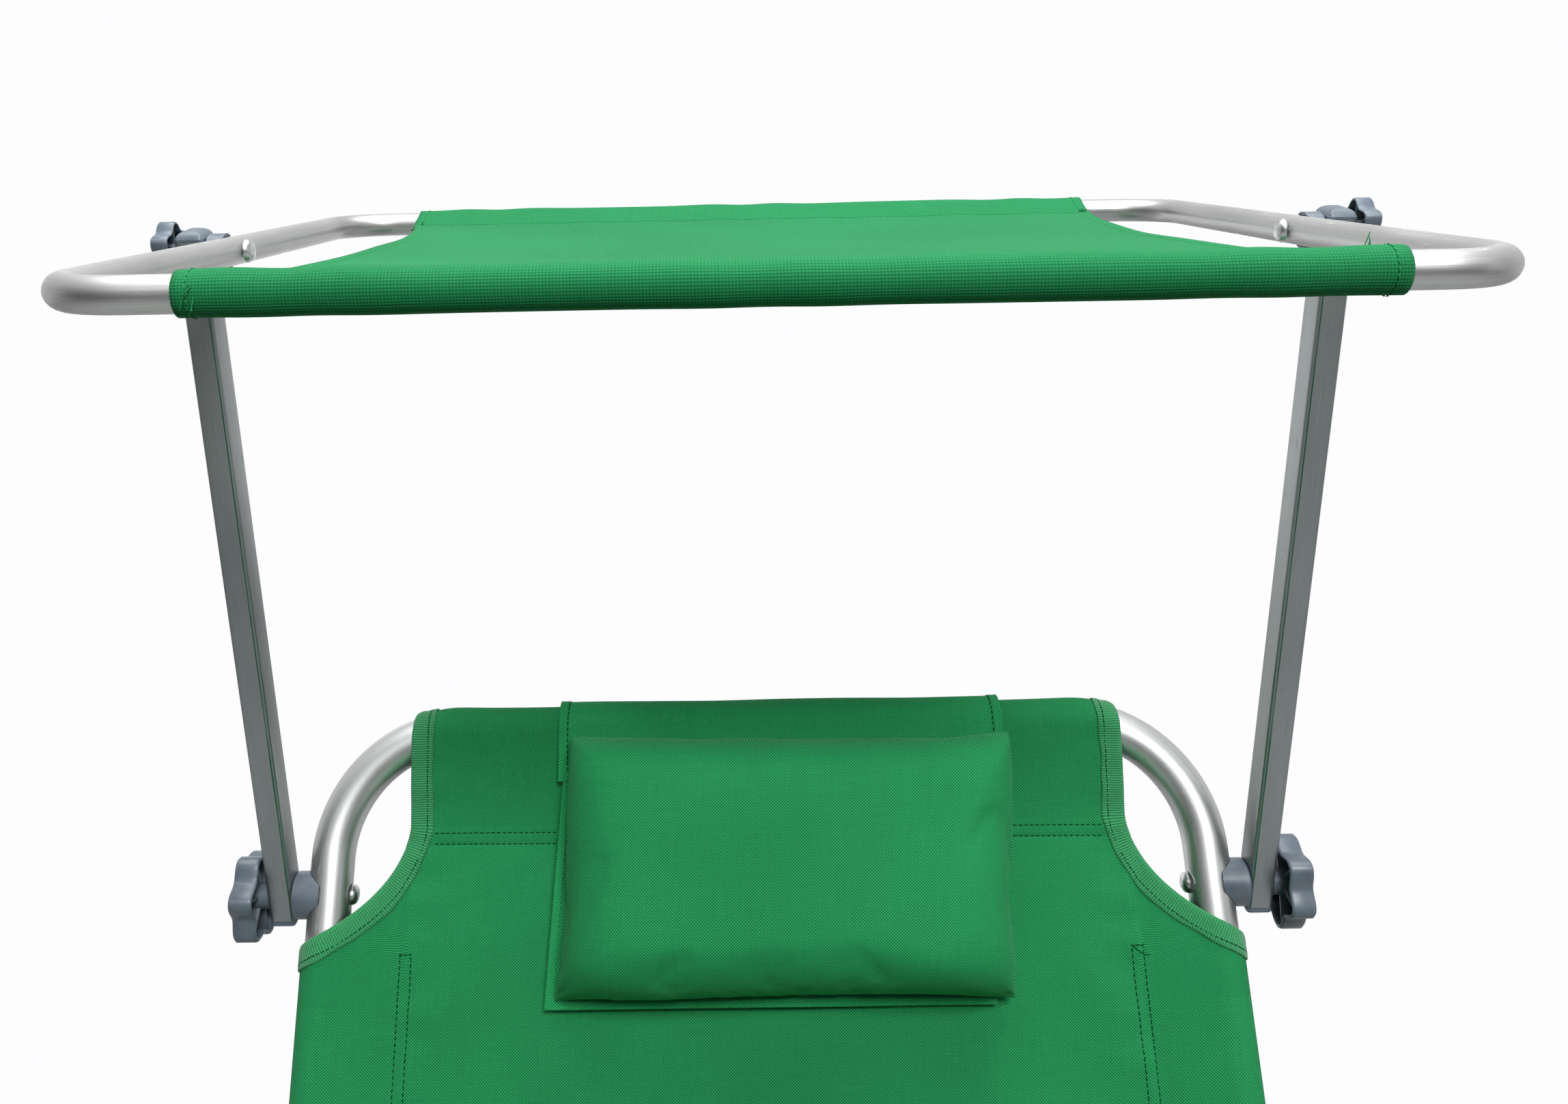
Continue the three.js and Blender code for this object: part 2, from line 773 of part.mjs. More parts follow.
function armGeometry() {
  const tube = carved(
    barAlongY(armWidth, armDepth, armCorner, -armBelow, armLength + armAbove),
    barAlongY(
      armWidth - 2 * armWall,
      armDepth - 2 * armWall,
      armCorner - armWall,
      -armBelow - overrun,
      armLength + armAbove + overrun,
    ),
  );
  const hole = rodX(boltDiameter / 2 + clearance, -armWidth, armWidth);
  return carved(tube, hole, hole.clone().translate(0, armLength, 0)).translate(armX, 0, 0);
}

function armInsert(from, to) {
  const less = 2 * (armWall + clearance);
  return barAlongY(armWidth - less, armDepth - less, armCorner - armWall, from, to);
}

function plugGeometry() {
  const end = -armBelow - clearance;
  return joined(
    barAlongY(armWidth, armDepth, armCorner, end - plugLip, end),
    armInsert(end - plugLip / 2, end + plugInsert),
  ).translate(armX, 0, 0);
}

// A rounded cap on the top end of an arm.
function capGeometry() {
  const start = armLength + armAbove + clearance;
  const half = armDepth / 2;
  const dome = new THREE.Shape();
  dome.moveTo(start, -half);
  dome.lineTo(start, half);
  dome.lineTo(start + capHeight / 2, half);
  dome.quadraticCurveTo(start + capHeight, half, start + capHeight, 0);
  dome.quadraticCurveTo(start + capHeight, -half, start + capHeight / 2, -half);
  const top = alongX(dome, -armWidth / 2 - overrun, armWidth / 2 + overrun, 3);
  const bar = barAlongY(armWidth, armDepth, armCorner, start - overrun, start + capHeight + overrun);
  return joined(shared(top, bar), armInsert(start - capInsert, start + capHeight / 2)).translate(armX, 0, 0);
}

// A round spacer along X with a saddle cut to the tube that it sits on.
function spacerGeometry(diameter, from, tubeMiddle, tubeSize) {
  return carved(
    rodX(diameter / 2, from, armInner - clearance, roundSides),
    rodY(tubeSize / 2 + clearance, -diameter, diameter, tubeSides * 2).translate(tubeMiddle, 0, 0),
    rodX(boltDiameter / 2 + clearance, from - overrun, armInner + overrun),
  );
}

// A domed bolt along X: its head is inside the tube's inner wall, its end is in the knob.
function boltGeometry(headFace) {
  const head = boltHeadDiameter / 2;
  const profile = [];
  for (let i = 0; i <= domeSteps; i += 1) {
    const angle = (i / domeSteps) * (Math.PI / 2);
    profile.push([head * Math.sin(angle), headFace - boltHeadHeight * Math.cos(angle)]);
  }
  profile[0][0] = 0;
  profile.push([boltDiameter / 2, headFace]);
  profile.push([boltDiameter / 2, armOuter + boltInKnob]);
  profile.push([0, armOuter + boltInKnob]);
  return turnedX(profile, pinSides);
}

// The wavy outline of a star knob, drawn in by an inset.
function starOutline(inset) {
  const count = knobLobes * knobSteps;
  const middle = knobDiameter / 2 - knobLobeHeight - inset;
  const points = [];
  for (let i = 0; i < count; i += 1) {
    const angle = (i / count) * 2 * Math.PI;
    const radius = middle + knobLobeHeight * Math.cos(knobLobes * angle);
    points.push([radius * Math.cos(angle), radius * Math.sin(angle)]);
  }
  return outlineOf(points);
}

// A moulded star knob: a lobed shell, hollow towards the arm, with a hub and a rib to each lobe.
function knobGeometry() {
  const base = knobStandOff;
  const top = knobStandOff + knobThickness;
  const shell = new THREE.ExtrudeGeometry(starOutline(knobRound), {
    depth: knobThickness - 2 * knobRound,
    bevelThickness: knobRound,
    bevelSize: knobRound,
    bevelSegments: 1,
  }).translate(0, 0, base + knobRound);
  const hollow = alongZ(starOutline(knobWall), base - overrun, top - knobTop);
  const hub = new THREE.CylinderGeometry(knobHub / 2, knobHub / 2, top - knobTop / 2 - clearance, pinSides * 2)
    .rotateX(Math.PI / 2)
    .translate(0, 0, (top - knobTop / 2 + clearance) / 2);
  const ribs = [];
  for (let i = 0; i < knobLobes; i += 1) {
    const rib = block(
      [knobHub / 4, -knobRib / 2, base + knobRound],
      [knobDiameter / 2 - knobWall / 2 - knobRound / 2, knobRib / 2, top - knobTop / 2],
    );
    ribs.push(rib.rotateZ((i * 2 * Math.PI) / knobLobes));
  }
  const bore = new THREE.CylinderGeometry(
    boltDiameter / 2 + clearance,
    boltDiameter / 2 + clearance,
    2 * (boltInKnob + clearance),
    pinSides,
  ).rotateX(Math.PI / 2);
  return carved(joined(carved(shell, hollow), hub, ...ribs), bore).rotateY(Math.PI / 2).translate(armOuter, 0, 0);
}

// The canopy's closed frame: two U-bent tubes spliced on an inner sleeve at each side.
function canopyFrameGeometry() {
  const near = tubeAlong(
    uRoute(canopyX, canopySplice + spliceGap / 2, canopyDepth, canopyBend, smallBendSteps),
    canopyRadius,
    canopyWall,
  );
  const far = tubeAlong(
    uRoute(canopyX, -canopySplice + spliceGap / 2, 0, canopyBend, smallBendSteps),
    canopyRadius,
    canopyWall,
  ).rotateZ(Math.PI);
  const splices = [-1, 1].map((side) => straightTube(
    canopyRadius - canopyWall / 2,
    canopyWall,
    canopySplice - spliceLength / 2,
    canopySplice + spliceLength / 2,
  ).translate(side * canopyX, 0, 0));
  const hole = rodX(boltDiameter / 2 + clearance, -frameWidth, frameWidth)
    .translate(0, canopyDepth - canopyPivot, 0);
  return carved(joined(near, far, ...splices), hole);
}

// The canopy's cloth: a sleeve round the near and far tubes and a sagging web with drawn-in sides.
function canopyClothGeometry() {
  const half = clothThickness / 2;
  const radius = canopyHollow + clothThickness;
  const web = (way) => {
    const points = [];
    for (let i = 0; i <= edgeSteps; i += 1) {
      const share = i / edgeSteps;
      const y = canopySeam + share * (canopyDepth - 2 * canopySeam);
      points.push([y, way * half + 4 * canopySag * share * (1 - share)]);
    }
    return points;
  };
  const section = outlineOf([
    ...web(1),
    ...sleevePoints(canopyDepth, canopySeam, -1, radius, half),
    ...web(-1).reverse(),
    ...sleevePoints(0, canopySeam, 1, radius, half).reverse(),
  ]);
  section.holes.push(sleeveHole(canopyDepth, canopySeam - clothThickness, -1, canopyHollow));
  section.holes.push(sleeveHole(0, canopySeam - clothThickness, 1, canopyHollow));
  const cloth = alongX(section, -canopyEndHalfWidth - overrun, canopyEndHalfWidth + overrun);
  const low = -radius - overrun;
  const high = canopyDepth + radius + overrun;
  const edge = [];
  for (let i = 0; i <= edgeSteps; i += 1) {
    const share = (2 * i) / edgeSteps - 1;
    const x = canopyWaistHalfWidth + (canopyEndHalfWidth - canopyWaistHalfWidth) * share ** 2;
    edge.push([x, (low + high) / 2 + (share * (high - low)) / 2]);
  }
  const plan = alongZ(
    outlineOf([...edge, ...edge.map(([x, y]) => [-x, y]).reverse()]),
    -canopyDepth,
    canopyDepth,
  );
  return shared(cloth, plan);
}

// Assembly. The seat group's plane z = 0 holds the middle of its tubes.
const lounger = new THREE.Group();
const seat = groupIn(lounger, 0, 0, seatHeight);

// Seat section, which stays where it is while everything else folds against it
pair(seat, 'seat_tube', straightTube(tubeRadius, tubeWall, -seatLength + ratchetSetback, -ratchetSetback)
  .translate(sideX, 0, 0), aluminium);
mesh(seat, 'seat_sling', middleSling(), greenCloth);
pair(seat, 'back_ratchet_seat_side', backward(ratchetHalf(true)), slatePlastic);
pair(seat, 'back_ratchet_pin', ratchetPin(), steel);
const knee = groupIn(seat, 0, -seatLength, 0);
pair(knee, 'knee_ratchet_seat_side', ratchetHalf(true), slatePlastic);
pair(knee, 'knee_ratchet_pin', ratchetPin(), steel);
pair(groupIn(seat, 0, -seatLegPlace, 0), 'seat_leg_bracket', legBracket(), steel);
addLeg(seat, 'seat', -seatLegPlace, legAngle, false);

// Foot section, turned end for end so that it runs along its own +Y
const footTurn = groupIn(seat, 0, -seatLength, ratchetRise);
footTurn.rotation.z = Math.PI;
const foot = groupIn(footTurn, 0, 0, -ratchetRise);
mesh(foot, 'foot_frame', tubeAlong(
  uRoute(sideX, ratchetSetback, footLength, footBend, bendSteps),
  tubeRadius,
  tubeWall,
), aluminium);
mesh(foot, 'foot_sling', endSling(footLength, footBend, footLegPlace), greenCloth);
pair(foot, 'knee_ratchet_foot_side', ratchetHalf(false), slatePlastic, true);
pair(groupIn(foot, 0, footLegPlace, 0), 'foot_leg_bracket', legBracket(), steel, true);
addLeg(foot, 'foot', footLegPlace, legAngle, true);

// Back section, raised on its ratchets, with its leg folded flat behind it
const backTurn = groupIn(seat, 0, 0, ratchetRise);
backTurn.rotation.x = THREE.MathUtils.degToRad(reclineAngle);
const back = groupIn(backTurn, 0, 0, -ratchetRise);
const armPivot = backLength - armPivotDrop;
mesh(back, 'back_frame', carved(
  tubeAlong(uRoute(sideX, ratchetSetback, backLength, headBend, bendSteps), tubeRadius, tubeWall),
  rodX(boltDiameter / 2 + clearance, -frameWidth, frameWidth).translate(0, armPivot, 0),
), aluminium);
mesh(back, 'back_sling', endSling(backLength, headBend, headLegPlace), greenCloth);
pair(back, 'back_ratchet_back_side', ratchetHalf(false), slatePlastic);
pair(groupIn(back, 0, headLegPlace, 0), 'head_leg_bracket', legBracket(), steel);
addLeg(back, 'head', headLegPlace, legAngle + THREE.MathUtils.degToRad(legFold), false);

// Pillow, hung on a flap that wraps over the top tube
const topTube = groupIn(back, 0, backLength, 0);
mesh(topTube, 'pillow_flap', alongX(stripOutline(flapLine(), flapThickness), -flapWidth / 2, flapWidth / 2)
  .translate(pillowShift, 0, 0), greenCloth);
const flapSlope = groupIn(topTube, pillowShift, 0, 0);
flapSlope.rotation.x = tangentLean(flapFront, flapEndLift, flapRadius);
mesh(flapSlope, 'pillow', pillowGeometry(), greenCloth)
  .position.set(0, -pillowTop - pillowHeight / 2, flapRadius + flapThickness / 2 + clearance);

// Lower arm joints
const lowerJoint = groupIn(back, 0, armPivot, 0);
pair(lowerJoint, 'arm_spacer', spacerGeometry(
  spacerDiameter,
  sideX + tubeRadius - spacerSaddle,
  sideX,
  tubeDiameter,
), slatePlastic);
pair(lowerJoint, 'arm_bolt', boltGeometry(sideX - tubeRadius - clearance), steel);
pair(lowerJoint, 'arm_knob', knobGeometry(), slatePlastic);

// Arms
const arms = groupIn(lowerJoint, 0, 0, 0);
arms.rotation.x = THREE.MathUtils.degToRad(armLean);
pair(arms, 'arm', armGeometry(), armAluminium);
pair(arms, 'arm_plug', plugGeometry(), slatePlastic);
pair(arms, 'arm_cap', capGeometry(), slatePlastic);

// Canopy, which tilts on its own knobs at the top of the arms
const upperJoint = groupIn(arms, 0, armLength, 0);
upperJoint.rotation.x = THREE.MathUtils.degToRad(canopyTilt);
pair(upperJoint, 'canopy_spacer', spacerGeometry(
  canopySpacerDiameter,
  canopySideX - canopySpacerSaddle,
  canopyX,
  canopyTube,
), slatePlastic);
pair(upperJoint, 'canopy_bolt', boltGeometry(canopyX - canopyRadius - clearance), steel);
pair(upperJoint, 'canopy_knob', knobGeometry(), slatePlastic);
const canopy = groupIn(upperJoint, 0, canopyPivot - canopyDepth, 0);
mesh(canopy, 'canopy_frame', canopyFrameGeometry(), aluminium);
mesh(canopy, 'canopy_cloth', canopyClothGeometry(), canopyCloth);

// The origin goes to the floor under the middle of the object.
lounger.updateMatrixWorld(true);
const extent = new THREE.Box3().setFromObject(lounger, true);
lounger.position.y = -(extent.min.y + extent.max.y) / 2;

export default lounger;
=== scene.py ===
# %% [markdown]
# # A folding sun lounger with a canopy
# The lounger is a bent aluminium frame in three sections, dressed in green woven cloth.
# A pillow hangs over the head end, and a small canopy tilts on two arms clamped by star knobs.
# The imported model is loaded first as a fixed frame. Every visible piece is then worked out
# as a surface with numpy, in millimetres, and set over the piece of the frame that it stands for.

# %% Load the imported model
import json
import math

import bmesh
import bpy
import numpy as np
from mathutils import Matrix, Vector


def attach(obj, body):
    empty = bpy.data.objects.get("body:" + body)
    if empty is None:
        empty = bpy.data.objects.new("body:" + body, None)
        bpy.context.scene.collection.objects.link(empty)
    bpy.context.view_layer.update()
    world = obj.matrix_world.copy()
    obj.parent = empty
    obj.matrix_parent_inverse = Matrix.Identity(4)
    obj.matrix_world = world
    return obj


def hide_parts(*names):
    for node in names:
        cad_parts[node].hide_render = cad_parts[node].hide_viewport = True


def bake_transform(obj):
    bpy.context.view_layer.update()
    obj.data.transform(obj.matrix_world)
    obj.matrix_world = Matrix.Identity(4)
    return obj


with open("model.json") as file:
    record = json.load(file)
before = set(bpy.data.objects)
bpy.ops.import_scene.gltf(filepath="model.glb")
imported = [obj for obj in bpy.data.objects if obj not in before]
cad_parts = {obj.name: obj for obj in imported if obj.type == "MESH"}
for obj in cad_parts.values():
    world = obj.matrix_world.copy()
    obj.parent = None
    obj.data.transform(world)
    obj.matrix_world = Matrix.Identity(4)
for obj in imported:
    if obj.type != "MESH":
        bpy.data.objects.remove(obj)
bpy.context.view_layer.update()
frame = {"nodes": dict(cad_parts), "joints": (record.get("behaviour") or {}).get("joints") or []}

# %% [markdown]
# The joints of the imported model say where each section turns, so the whole scene hangs on them.
# The remaining sizes are those of the real tubes, cloth and fittings.

# %% Sizes of the real lounger, in millimetres
MM = 0.001
PIVOT = {joint["name"]: np.array(joint["pos_m"]) / MM for joint in frame["joints"]}
HINGE, KNEE = PIVOT["back_recline"], PIVOT["foot_fold"]
ARM_PIVOT, CANOPY_PIVOT = (PIVOT[name] * [0, 1, 1] for name in ("arms_tilt", "canopy_tilt"))
BACK_DEGREES = 60
ARM_DEGREES = BACK_DEGREES + 36.3
CANOPY_DEGREES = ARM_DEGREES + 84.1 - 180
RECLINE, ARM_ANGLE, CANOPY_SLOPE = map(math.radians, (BACK_DEGREES, ARM_DEGREES, CANOPY_DEGREES))
RISE = 20
SIDE = 286
TUBE = 14
BACK_LENGTH = 650
FOOT_LENGTH = 560
SEAT_LENGTH = 600
HEAD_BEND = 82
FOOT_BEND = 60
SETBACK = 40
print("hinge", HINGE.round(1), "knee", KNEE.round(1))

# %% [markdown]
# A surface here is a grid of points: rows along one parameter and columns along the other.
# These helpers turn such a grid into quads, choose the side that faces out, and make the mesh.
# Working with whole arrays keeps each shape close to its formula.


# %% Grids into meshes
def unit(vectors):
    """The same directions with a length of one."""
    return vectors / np.linalg.norm(vectors, axis=-1, keepdims=True)


def travelled(points):
    """The distance along a path from its first point to each of its points."""
    return np.concatenate([[0], np.cumsum(np.linalg.norm(np.diff(points, axis=0), axis=1))])


def grid_quads(rows, cols, wrap_rows=False, wrap_cols=False):
    """One quad to each cell. A wrapped direction also joins its last line to its first."""
    i, j = np.indices((rows - (not wrap_rows), cols - (not wrap_cols))).reshape(2, -1)
    corners = [(i, j), (i, j + 1), (i + 1, j + 1), (i + 1, j)]
    quads = np.stack([(a % rows) * cols + b % cols for a, b in corners], -1)
    return quads, np.stack([np.stack(c, -1) for c in corners], 1)


def volume(points, quads):
    """Six times the signed volume: the triple products of the two triangles of each quad, added up."""
    a, b, c, d = (points[quads[:, k]] for k in range(4))
    return float((a * (np.cross(b, c) + np.cross(c, d))).sum())


def surface(points, wrap_rows=False, wrap_cols=False, along=None, across=None):
    """A grid (rows, columns, 3) as points, quads and UVs. The UVs are distances in millimetres."""
    rows, cols = points.shape[:2]
    quads, cells = grid_quads(rows, cols, wrap_rows, wrap_cols)
    v = np.arange(rows, dtype=float) if along is None else np.asarray(along, float)
    u = np.arange(cols, dtype=float) if across is None else np.asarray(across, float)
    v, u = (np.append(k, 2 * k[-1] - k[-2]) for k in (v, u))
    return points.reshape(-1, 3), quads, np.stack([u[cells[..., 1]], v[cells[..., 0]]], -1)


def turned_out(parts):
    """A closed surface with its faces outwards, which is where its volume is positive."""
    points, quads, uv = parts
    return (points, quads[:, ::-1], uv[:, ::-1]) if volume(points, quads) < 0 else parts


def closed(points, wrap_rows=False, along=None, across=None):
    """A closed surface from a grid whose columns run round it."""
    return turned_out(surface(points, wrap_rows, True, along, across))


def joined(*shells):
    """Several surfaces as one: the corners of each are numbered on from those before it."""
    points, quads, uv = zip(*shells)
    starts = np.cumsum([0] + [len(p) for p in points[:-1]])
    numbered = [q + start for q, start in zip(quads, starts)]
    return np.concatenate(points), np.concatenate(numbered), np.concatenate(uv)


def moved(parts, change):
    """A closed surface with its points changed, and turned out again if the change mirrors it."""
    return turned_out((change(parts[0]), *parts[1:]))


def kept(parts, mask):
    """Only the quads where the mask is true, with the points that they use numbered afresh."""
    points, quads, uv = parts
    used, fresh = np.unique(quads[mask], return_inverse=True)
    return points[used], fresh.reshape(-1, 4), uv[mask]


def mirrored(points):
    """The same points on the other side of the plane x = 0."""
    return points * [-1, 1, 1]


# %% Arrays into Blender objects
def make_piece(name, parts, body=None, material=None, replaces=(), sharp=40, weld=True):
    """A mesh object from points, quads and UVs. Points that meet, as at a pole, are welded."""
    points, quads, uv = parts
    mesh = bpy.data.meshes.new(name)
    mesh.vertices.add(len(points))
    mesh.vertices.foreach_set("co", (points * MM).astype(np.float32).ravel())
    mesh.loops.add(quads.size)
    mesh.loops.foreach_set("vertex_index", quads.astype(np.int32).ravel())
    mesh.polygons.add(len(quads))
    mesh.polygons.foreach_set("loop_start", np.arange(0, quads.size, 4, dtype=np.int32))
    mesh.uv_layers.new(name="cloth").data.foreach_set("uv", uv.astype(np.float32).ravel())
    mesh.update(calc_edges=True)
    if weld:
        bm = bmesh.new()
        bm.from_mesh(mesh)
        bmesh.ops.remove_doubles(bm, verts=bm.verts, dist=1e-6)
        bmesh.ops.dissolve_degenerate(bm, edges=bm.edges, dist=1e-7)
        bm.to_mesh(mesh)
        bm.free()
    mesh.polygons.foreach_set("use_smooth", np.ones(len(mesh.polygons), bool))
    mesh.set_sharp_from_angle(angle=math.radians(sharp))
    piece = bpy.data.objects.new(name, mesh)
    bpy.context.scene.collection.objects.link(piece)
    if material:
        mesh.materials.append(material)
    if body:
        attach(piece, body)
    if replaces:
        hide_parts(*replaces)
    return piece


def both_sides(name, parts, body, material, node):
    """The right piece as given and the left one mirrored, each standing for its own node."""
    for side, one in (("right", parts), ("left", moved(parts, mirrored))):
        make_piece(f"{name}_{side}", one, body, material, [f"{node}_{side}"])


def soft_piece(name, parts, body, material, replaces=(), sharp=80, thickness=None):
    """A sheet or a row of stitches, left unwelded. A live Solidify gives a sheet its thickness."""
    piece = make_piece(name, parts, body, material, replaces, sharp, weld=False)
    if thickness:
        solid = piece.modifiers.new("thickness", "SOLIDIFY")
        solid.thickness = thickness * MM
        solid.offset = 0
        solid.use_even_offset = False
    return piece


# %% [markdown]
# Each section of the lounger is drawn in its own flat coordinates: x across, y along, z off the plane.
# To place it, the points turn about the x axis and move to the joint that carries the section.


# %% Placing a section
def placed(points, angle, origin, rise=0):
    """Lowers the points by rise, turns them about X by an angle, and moves them to an origin."""
    points = np.asarray(points, float)
    x, y, z = points[..., 0], points[..., 1], points[..., 2] - rise
    cos, sin = math.cos(angle), math.sin(angle)
    return np.stack([x + origin[0], y * cos - z * sin + origin[1], y * sin + z * cos + origin[2]], -1)


def on_back(points):
    """Back section: y is the distance up from the hinge, and z = 0 holds the tubes."""
    return placed(points, RECLINE, HINGE, RISE)


def on_seat(points):
    """Seat section: y is the distance from the back hinge, negative towards the knee."""
    return placed(points, 0, HINGE, RISE)


def on_foot(points):
    """Foot section: y is the distance from the knee towards the foot end."""
    return placed(np.asarray(points) * np.array([1, -1, 1]), 0, KNEE, RISE)


def on_arms(points):
    """Arms: y runs up the arm from its lower bolt, and z faces the front."""
    return placed(points, ARM_ANGLE, ARM_PIVOT)


def at_arm_joint(points):
    """Lower arm joint, in the directions of the back section."""
    return placed(points, RECLINE, ARM_PIVOT)


def on_canopy(points):
    """Canopy: y runs from its bolts towards the head end, and z is up."""
    return placed(points, CANOPY_SLOPE, CANOPY_PIVOT)


print("top tube at", on_back([0, BACK_LENGTH, 0]).round(1))

# %% [markdown]
# The camera stands in front of the backrest, a little above the canopy, as the photographer did.
# Its place and its angles were found by fitting the tubes, bolts and arms, at their real sizes, to
# their places in the photograph, so the model and the picture share one perspective.

# %% Camera
PHOTO_WIDTH = 2296
PHOTO_HEIGHT = 1616
FOCAL_PIXELS = 1918.62
CENTRE_PIXEL = (1041.09, 589.10)
EYE_FROM_TOP_TUBE = (-21.894, -84.290, 910.142)
EYE_YAW = 0.0121
EYE_PITCH = 0.3349
EYE_ROLL = -0.0145
SENSOR = 36

eye_turn = (
    Matrix.Rotation(RECLINE, 4, "X")
    @ Matrix.Rotation(EYE_YAW, 4, "Y")
    @ Matrix.Rotation(EYE_PITCH, 4, "X")
    @ Matrix.Rotation(EYE_ROLL, 4, "Z")
)
eye = on_back(np.array([0, BACK_LENGTH, 0]) + np.array(EYE_FROM_TOP_TUBE)) * MM
camera = bpy.data.objects.new("camera", bpy.data.cameras.new("camera"))
bpy.context.scene.collection.objects.link(camera)
camera.matrix_world = Matrix.Translation(eye.tolist()) @ eye_turn
camera.data.sensor_width = SENSOR
camera.data.lens = FOCAL_PIXELS / PHOTO_WIDTH * SENSOR
camera.data.shift_x = (PHOTO_WIDTH / 2 - CENTRE_PIXEL[0]) / PHOTO_WIDTH
camera.data.shift_y = (CENTRE_PIXEL[1] - PHOTO_HEIGHT / 2) / PHOTO_WIDTH
bpy.context.scene.camera = camera
print("camera at", eye.round(3), "lens", round(camera.data.lens, 2))

# %% [markdown]
# The light is that of a product studio. One softbox hangs high in front and to the right and lights
# the backrest under the canopy. One hangs overhead, so the canopy's top is the brightest cloth. A
# weak box stands on the right, and a panel behind, seen only in reflections, draws long streaks.

# %% Softboxes
SOFTBOXES = (  # name, place, target, width, height and watts
    ("key_light", (0.6, -1.9, 3.4), (0, 0.5, 0.8), 1.1, 0.9, 116),
    ("top_light", (0.0, 0.7, 3.1), (0, 0.6, 0.9), 2.2, 1.6, 76),
    ("rear_panel", (-0.45, 1.75, 0.68), (0.2, 0.6, 0.9), 0.9, 1.35, 2.4),
    ("right_light", (2.9, -0.5, 1.7), (0, 0.5, 0.9), 0.7, 2.0, 5),
)
lamps = {}
for name, place, target, width, height, watts in SOFTBOXES:
    light = bpy.data.lights.new(name, "AREA")
    light.shape = "RECTANGLE"
    light.size, light.size_y, light.energy = width, height, watts
    lamps[name] = bpy.data.objects.new(name, light)
    bpy.context.scene.collection.objects.link(lamps[name])
    turn = (Vector(place) - Vector(target)).to_track_quat("Z", "Y").to_matrix().to_4x4()
    lamps[name].matrix_world = Matrix.Translation(place) @ turn
lamps["rear_panel"].visible_diffuse = False
lamps["rear_panel"].visible_camera = False
print("lights", list(lamps))

# %% [markdown]
# Every finish, and the background too, is built from a few shader nodes. The helpers below make a
# node, a colour ramp or a mix in one line each, so the recipes that follow stay short. Cloth
# patterns read the UVs, which are distances along the cloth in millimetres; metal and plastic read
# the place on the object.


# %% Shader helpers
def add(tree, kind, inputs=None, output=0, **settings):
    """One shader node. A value that is a socket is linked, any other is set on the node itself."""
    made = tree.nodes.new("ShaderNode" + kind)
    for key, value in settings.items():
        setattr(made, key, value)
    for key, value in (inputs or {}).items():
        socket = made.inputs[key]
        if isinstance(value, bpy.types.NodeSocket):
            tree.links.new(value, socket)
        else:
            socket.default_value = (*value, 1) if socket.type == "RGBA" else value
    return made.outputs[output]


def sums(tree, operation, *values):
    """A Math node."""
    return add(tree, "Math", dict(enumerate(values)), operation=operation)


def axis_of(tree, vector, axis):
    """One number of a vector."""
    return add(tree, "SeparateXYZ", {0: vector}, axis)


def cloth_uv(tree):
    """The distances along and across a piece, in millimetres."""
    return add(tree, "UVMap", uv_map="cloth")


def on_object(tree):
    """The place on the object, in metres."""
    return add(tree, "TexCoord", output="Object")


def ramp(tree, value, stops):
    """A colour ramp from (place, colour) stops."""
    made = tree.nodes.new("ShaderNodeValToRGB")
    elements = made.color_ramp.elements
    for k, (place, colour) in enumerate(stops):
        element = elements[k] if k < 2 else elements.new(place)
        element.position = place
        element.color = (*colour, 1)
    tree.links.new(value, made.inputs[0])
    return made.outputs[0]


def grey(tree, value, low, high, start=0.0, end=1.0, **settings):
    """A value that runs from start to end made to run from low to high, and held there beyond them."""
    reach = {"From Min": start, "From Max": end, "To Min": low, "To Max": high}
    return add(tree, "MapRange", {"Value": value, **reach}, **settings)


def mixed(tree, share, a, b):
    """A mix of two colours."""
    return add(tree, "Mix", {0: share, 6: a, 7: b}, 2, data_type="RGBA")


def noise(tree, vector, scale, detail=3.0, stretch=(1, 1, 1)):
    """Noise from 0 to 1, stretched by a scale for each axis."""
    mapped = add(tree, "Mapping", {"Vector": vector, "Scale": stretch})
    return add(tree, "TexNoise", {"Vector": mapped, "Scale": scale, "Detail": detail})


def new_material(name, roughness, metallic=0.0, **sockets):
    """A material with one Principled shader, and the sockets that are the same all over set on it."""
    material = bpy.data.materials.new(name)
    material.use_nodes = True
    tree = material.node_tree
    shader = tree.nodes["Principled BSDF"]
    for key, value in {"Roughness": roughness, "Metallic": metallic, **sockets}.items():
        shader.inputs[key.replace("_", " ")].default_value = value
    return material, tree, shader


def coloured(tree, shader, value, stops):
    """Colours the material by a ramp over a value."""
    tree.links.new(ramp(tree, value, stops), shader.inputs["Base Color"])


def bumped(tree, shader, height, distance, strength=1.0, **earlier):
    """A bump, chained on an earlier one if there is one."""
    inputs = {"Height": height, "Distance": distance, "Strength": strength, **earlier}
    made = add(tree, "Bump", inputs)
    tree.links.new(made, shader.inputs["Normal"])
    return made


# %% [markdown]
# The room around the object is bright overhead and behind it, where the white backdrop hangs, and
# dim behind the camera. The sides of the arms mirror the backdrop, and their fronts the dim room,
# which is why the two faces of one bar differ so much. To the camera the backdrop is plain white.

# %% Background
BACKDROP = (0.985, 0.985, 1.0)
ROOM_DIM = 0.10
ROOM_BRIGHT = 0.85
DIFFUSE_SHARE = 0.3
BRIGHT_BEHIND = (1, -0.35, 0.35)
BRIGHT_OVERHEAD = (2, 0.15, 0.75)
world = bpy.data.worlds.new("studio")
bpy.context.scene.world = world
world.use_nodes = True
tree = world.node_tree
tree.nodes.clear()
toward = add(tree, "TexCoord", output="Generated")
smoothly = {"interpolation_type": "SMOOTHSTEP"}
bright = [
    grey(tree, axis_of(tree, toward, axis), ROOM_DIM, ROOM_BRIGHT, *reach, **smoothly)
    for axis, *reach in (BRIGHT_BEHIND, BRIGHT_OVERHEAD)
]
room = sums(tree, "MAXIMUM", *bright)
lit = add(tree, "Background", {"Color": room, "Strength": DIFFUSE_SHARE})
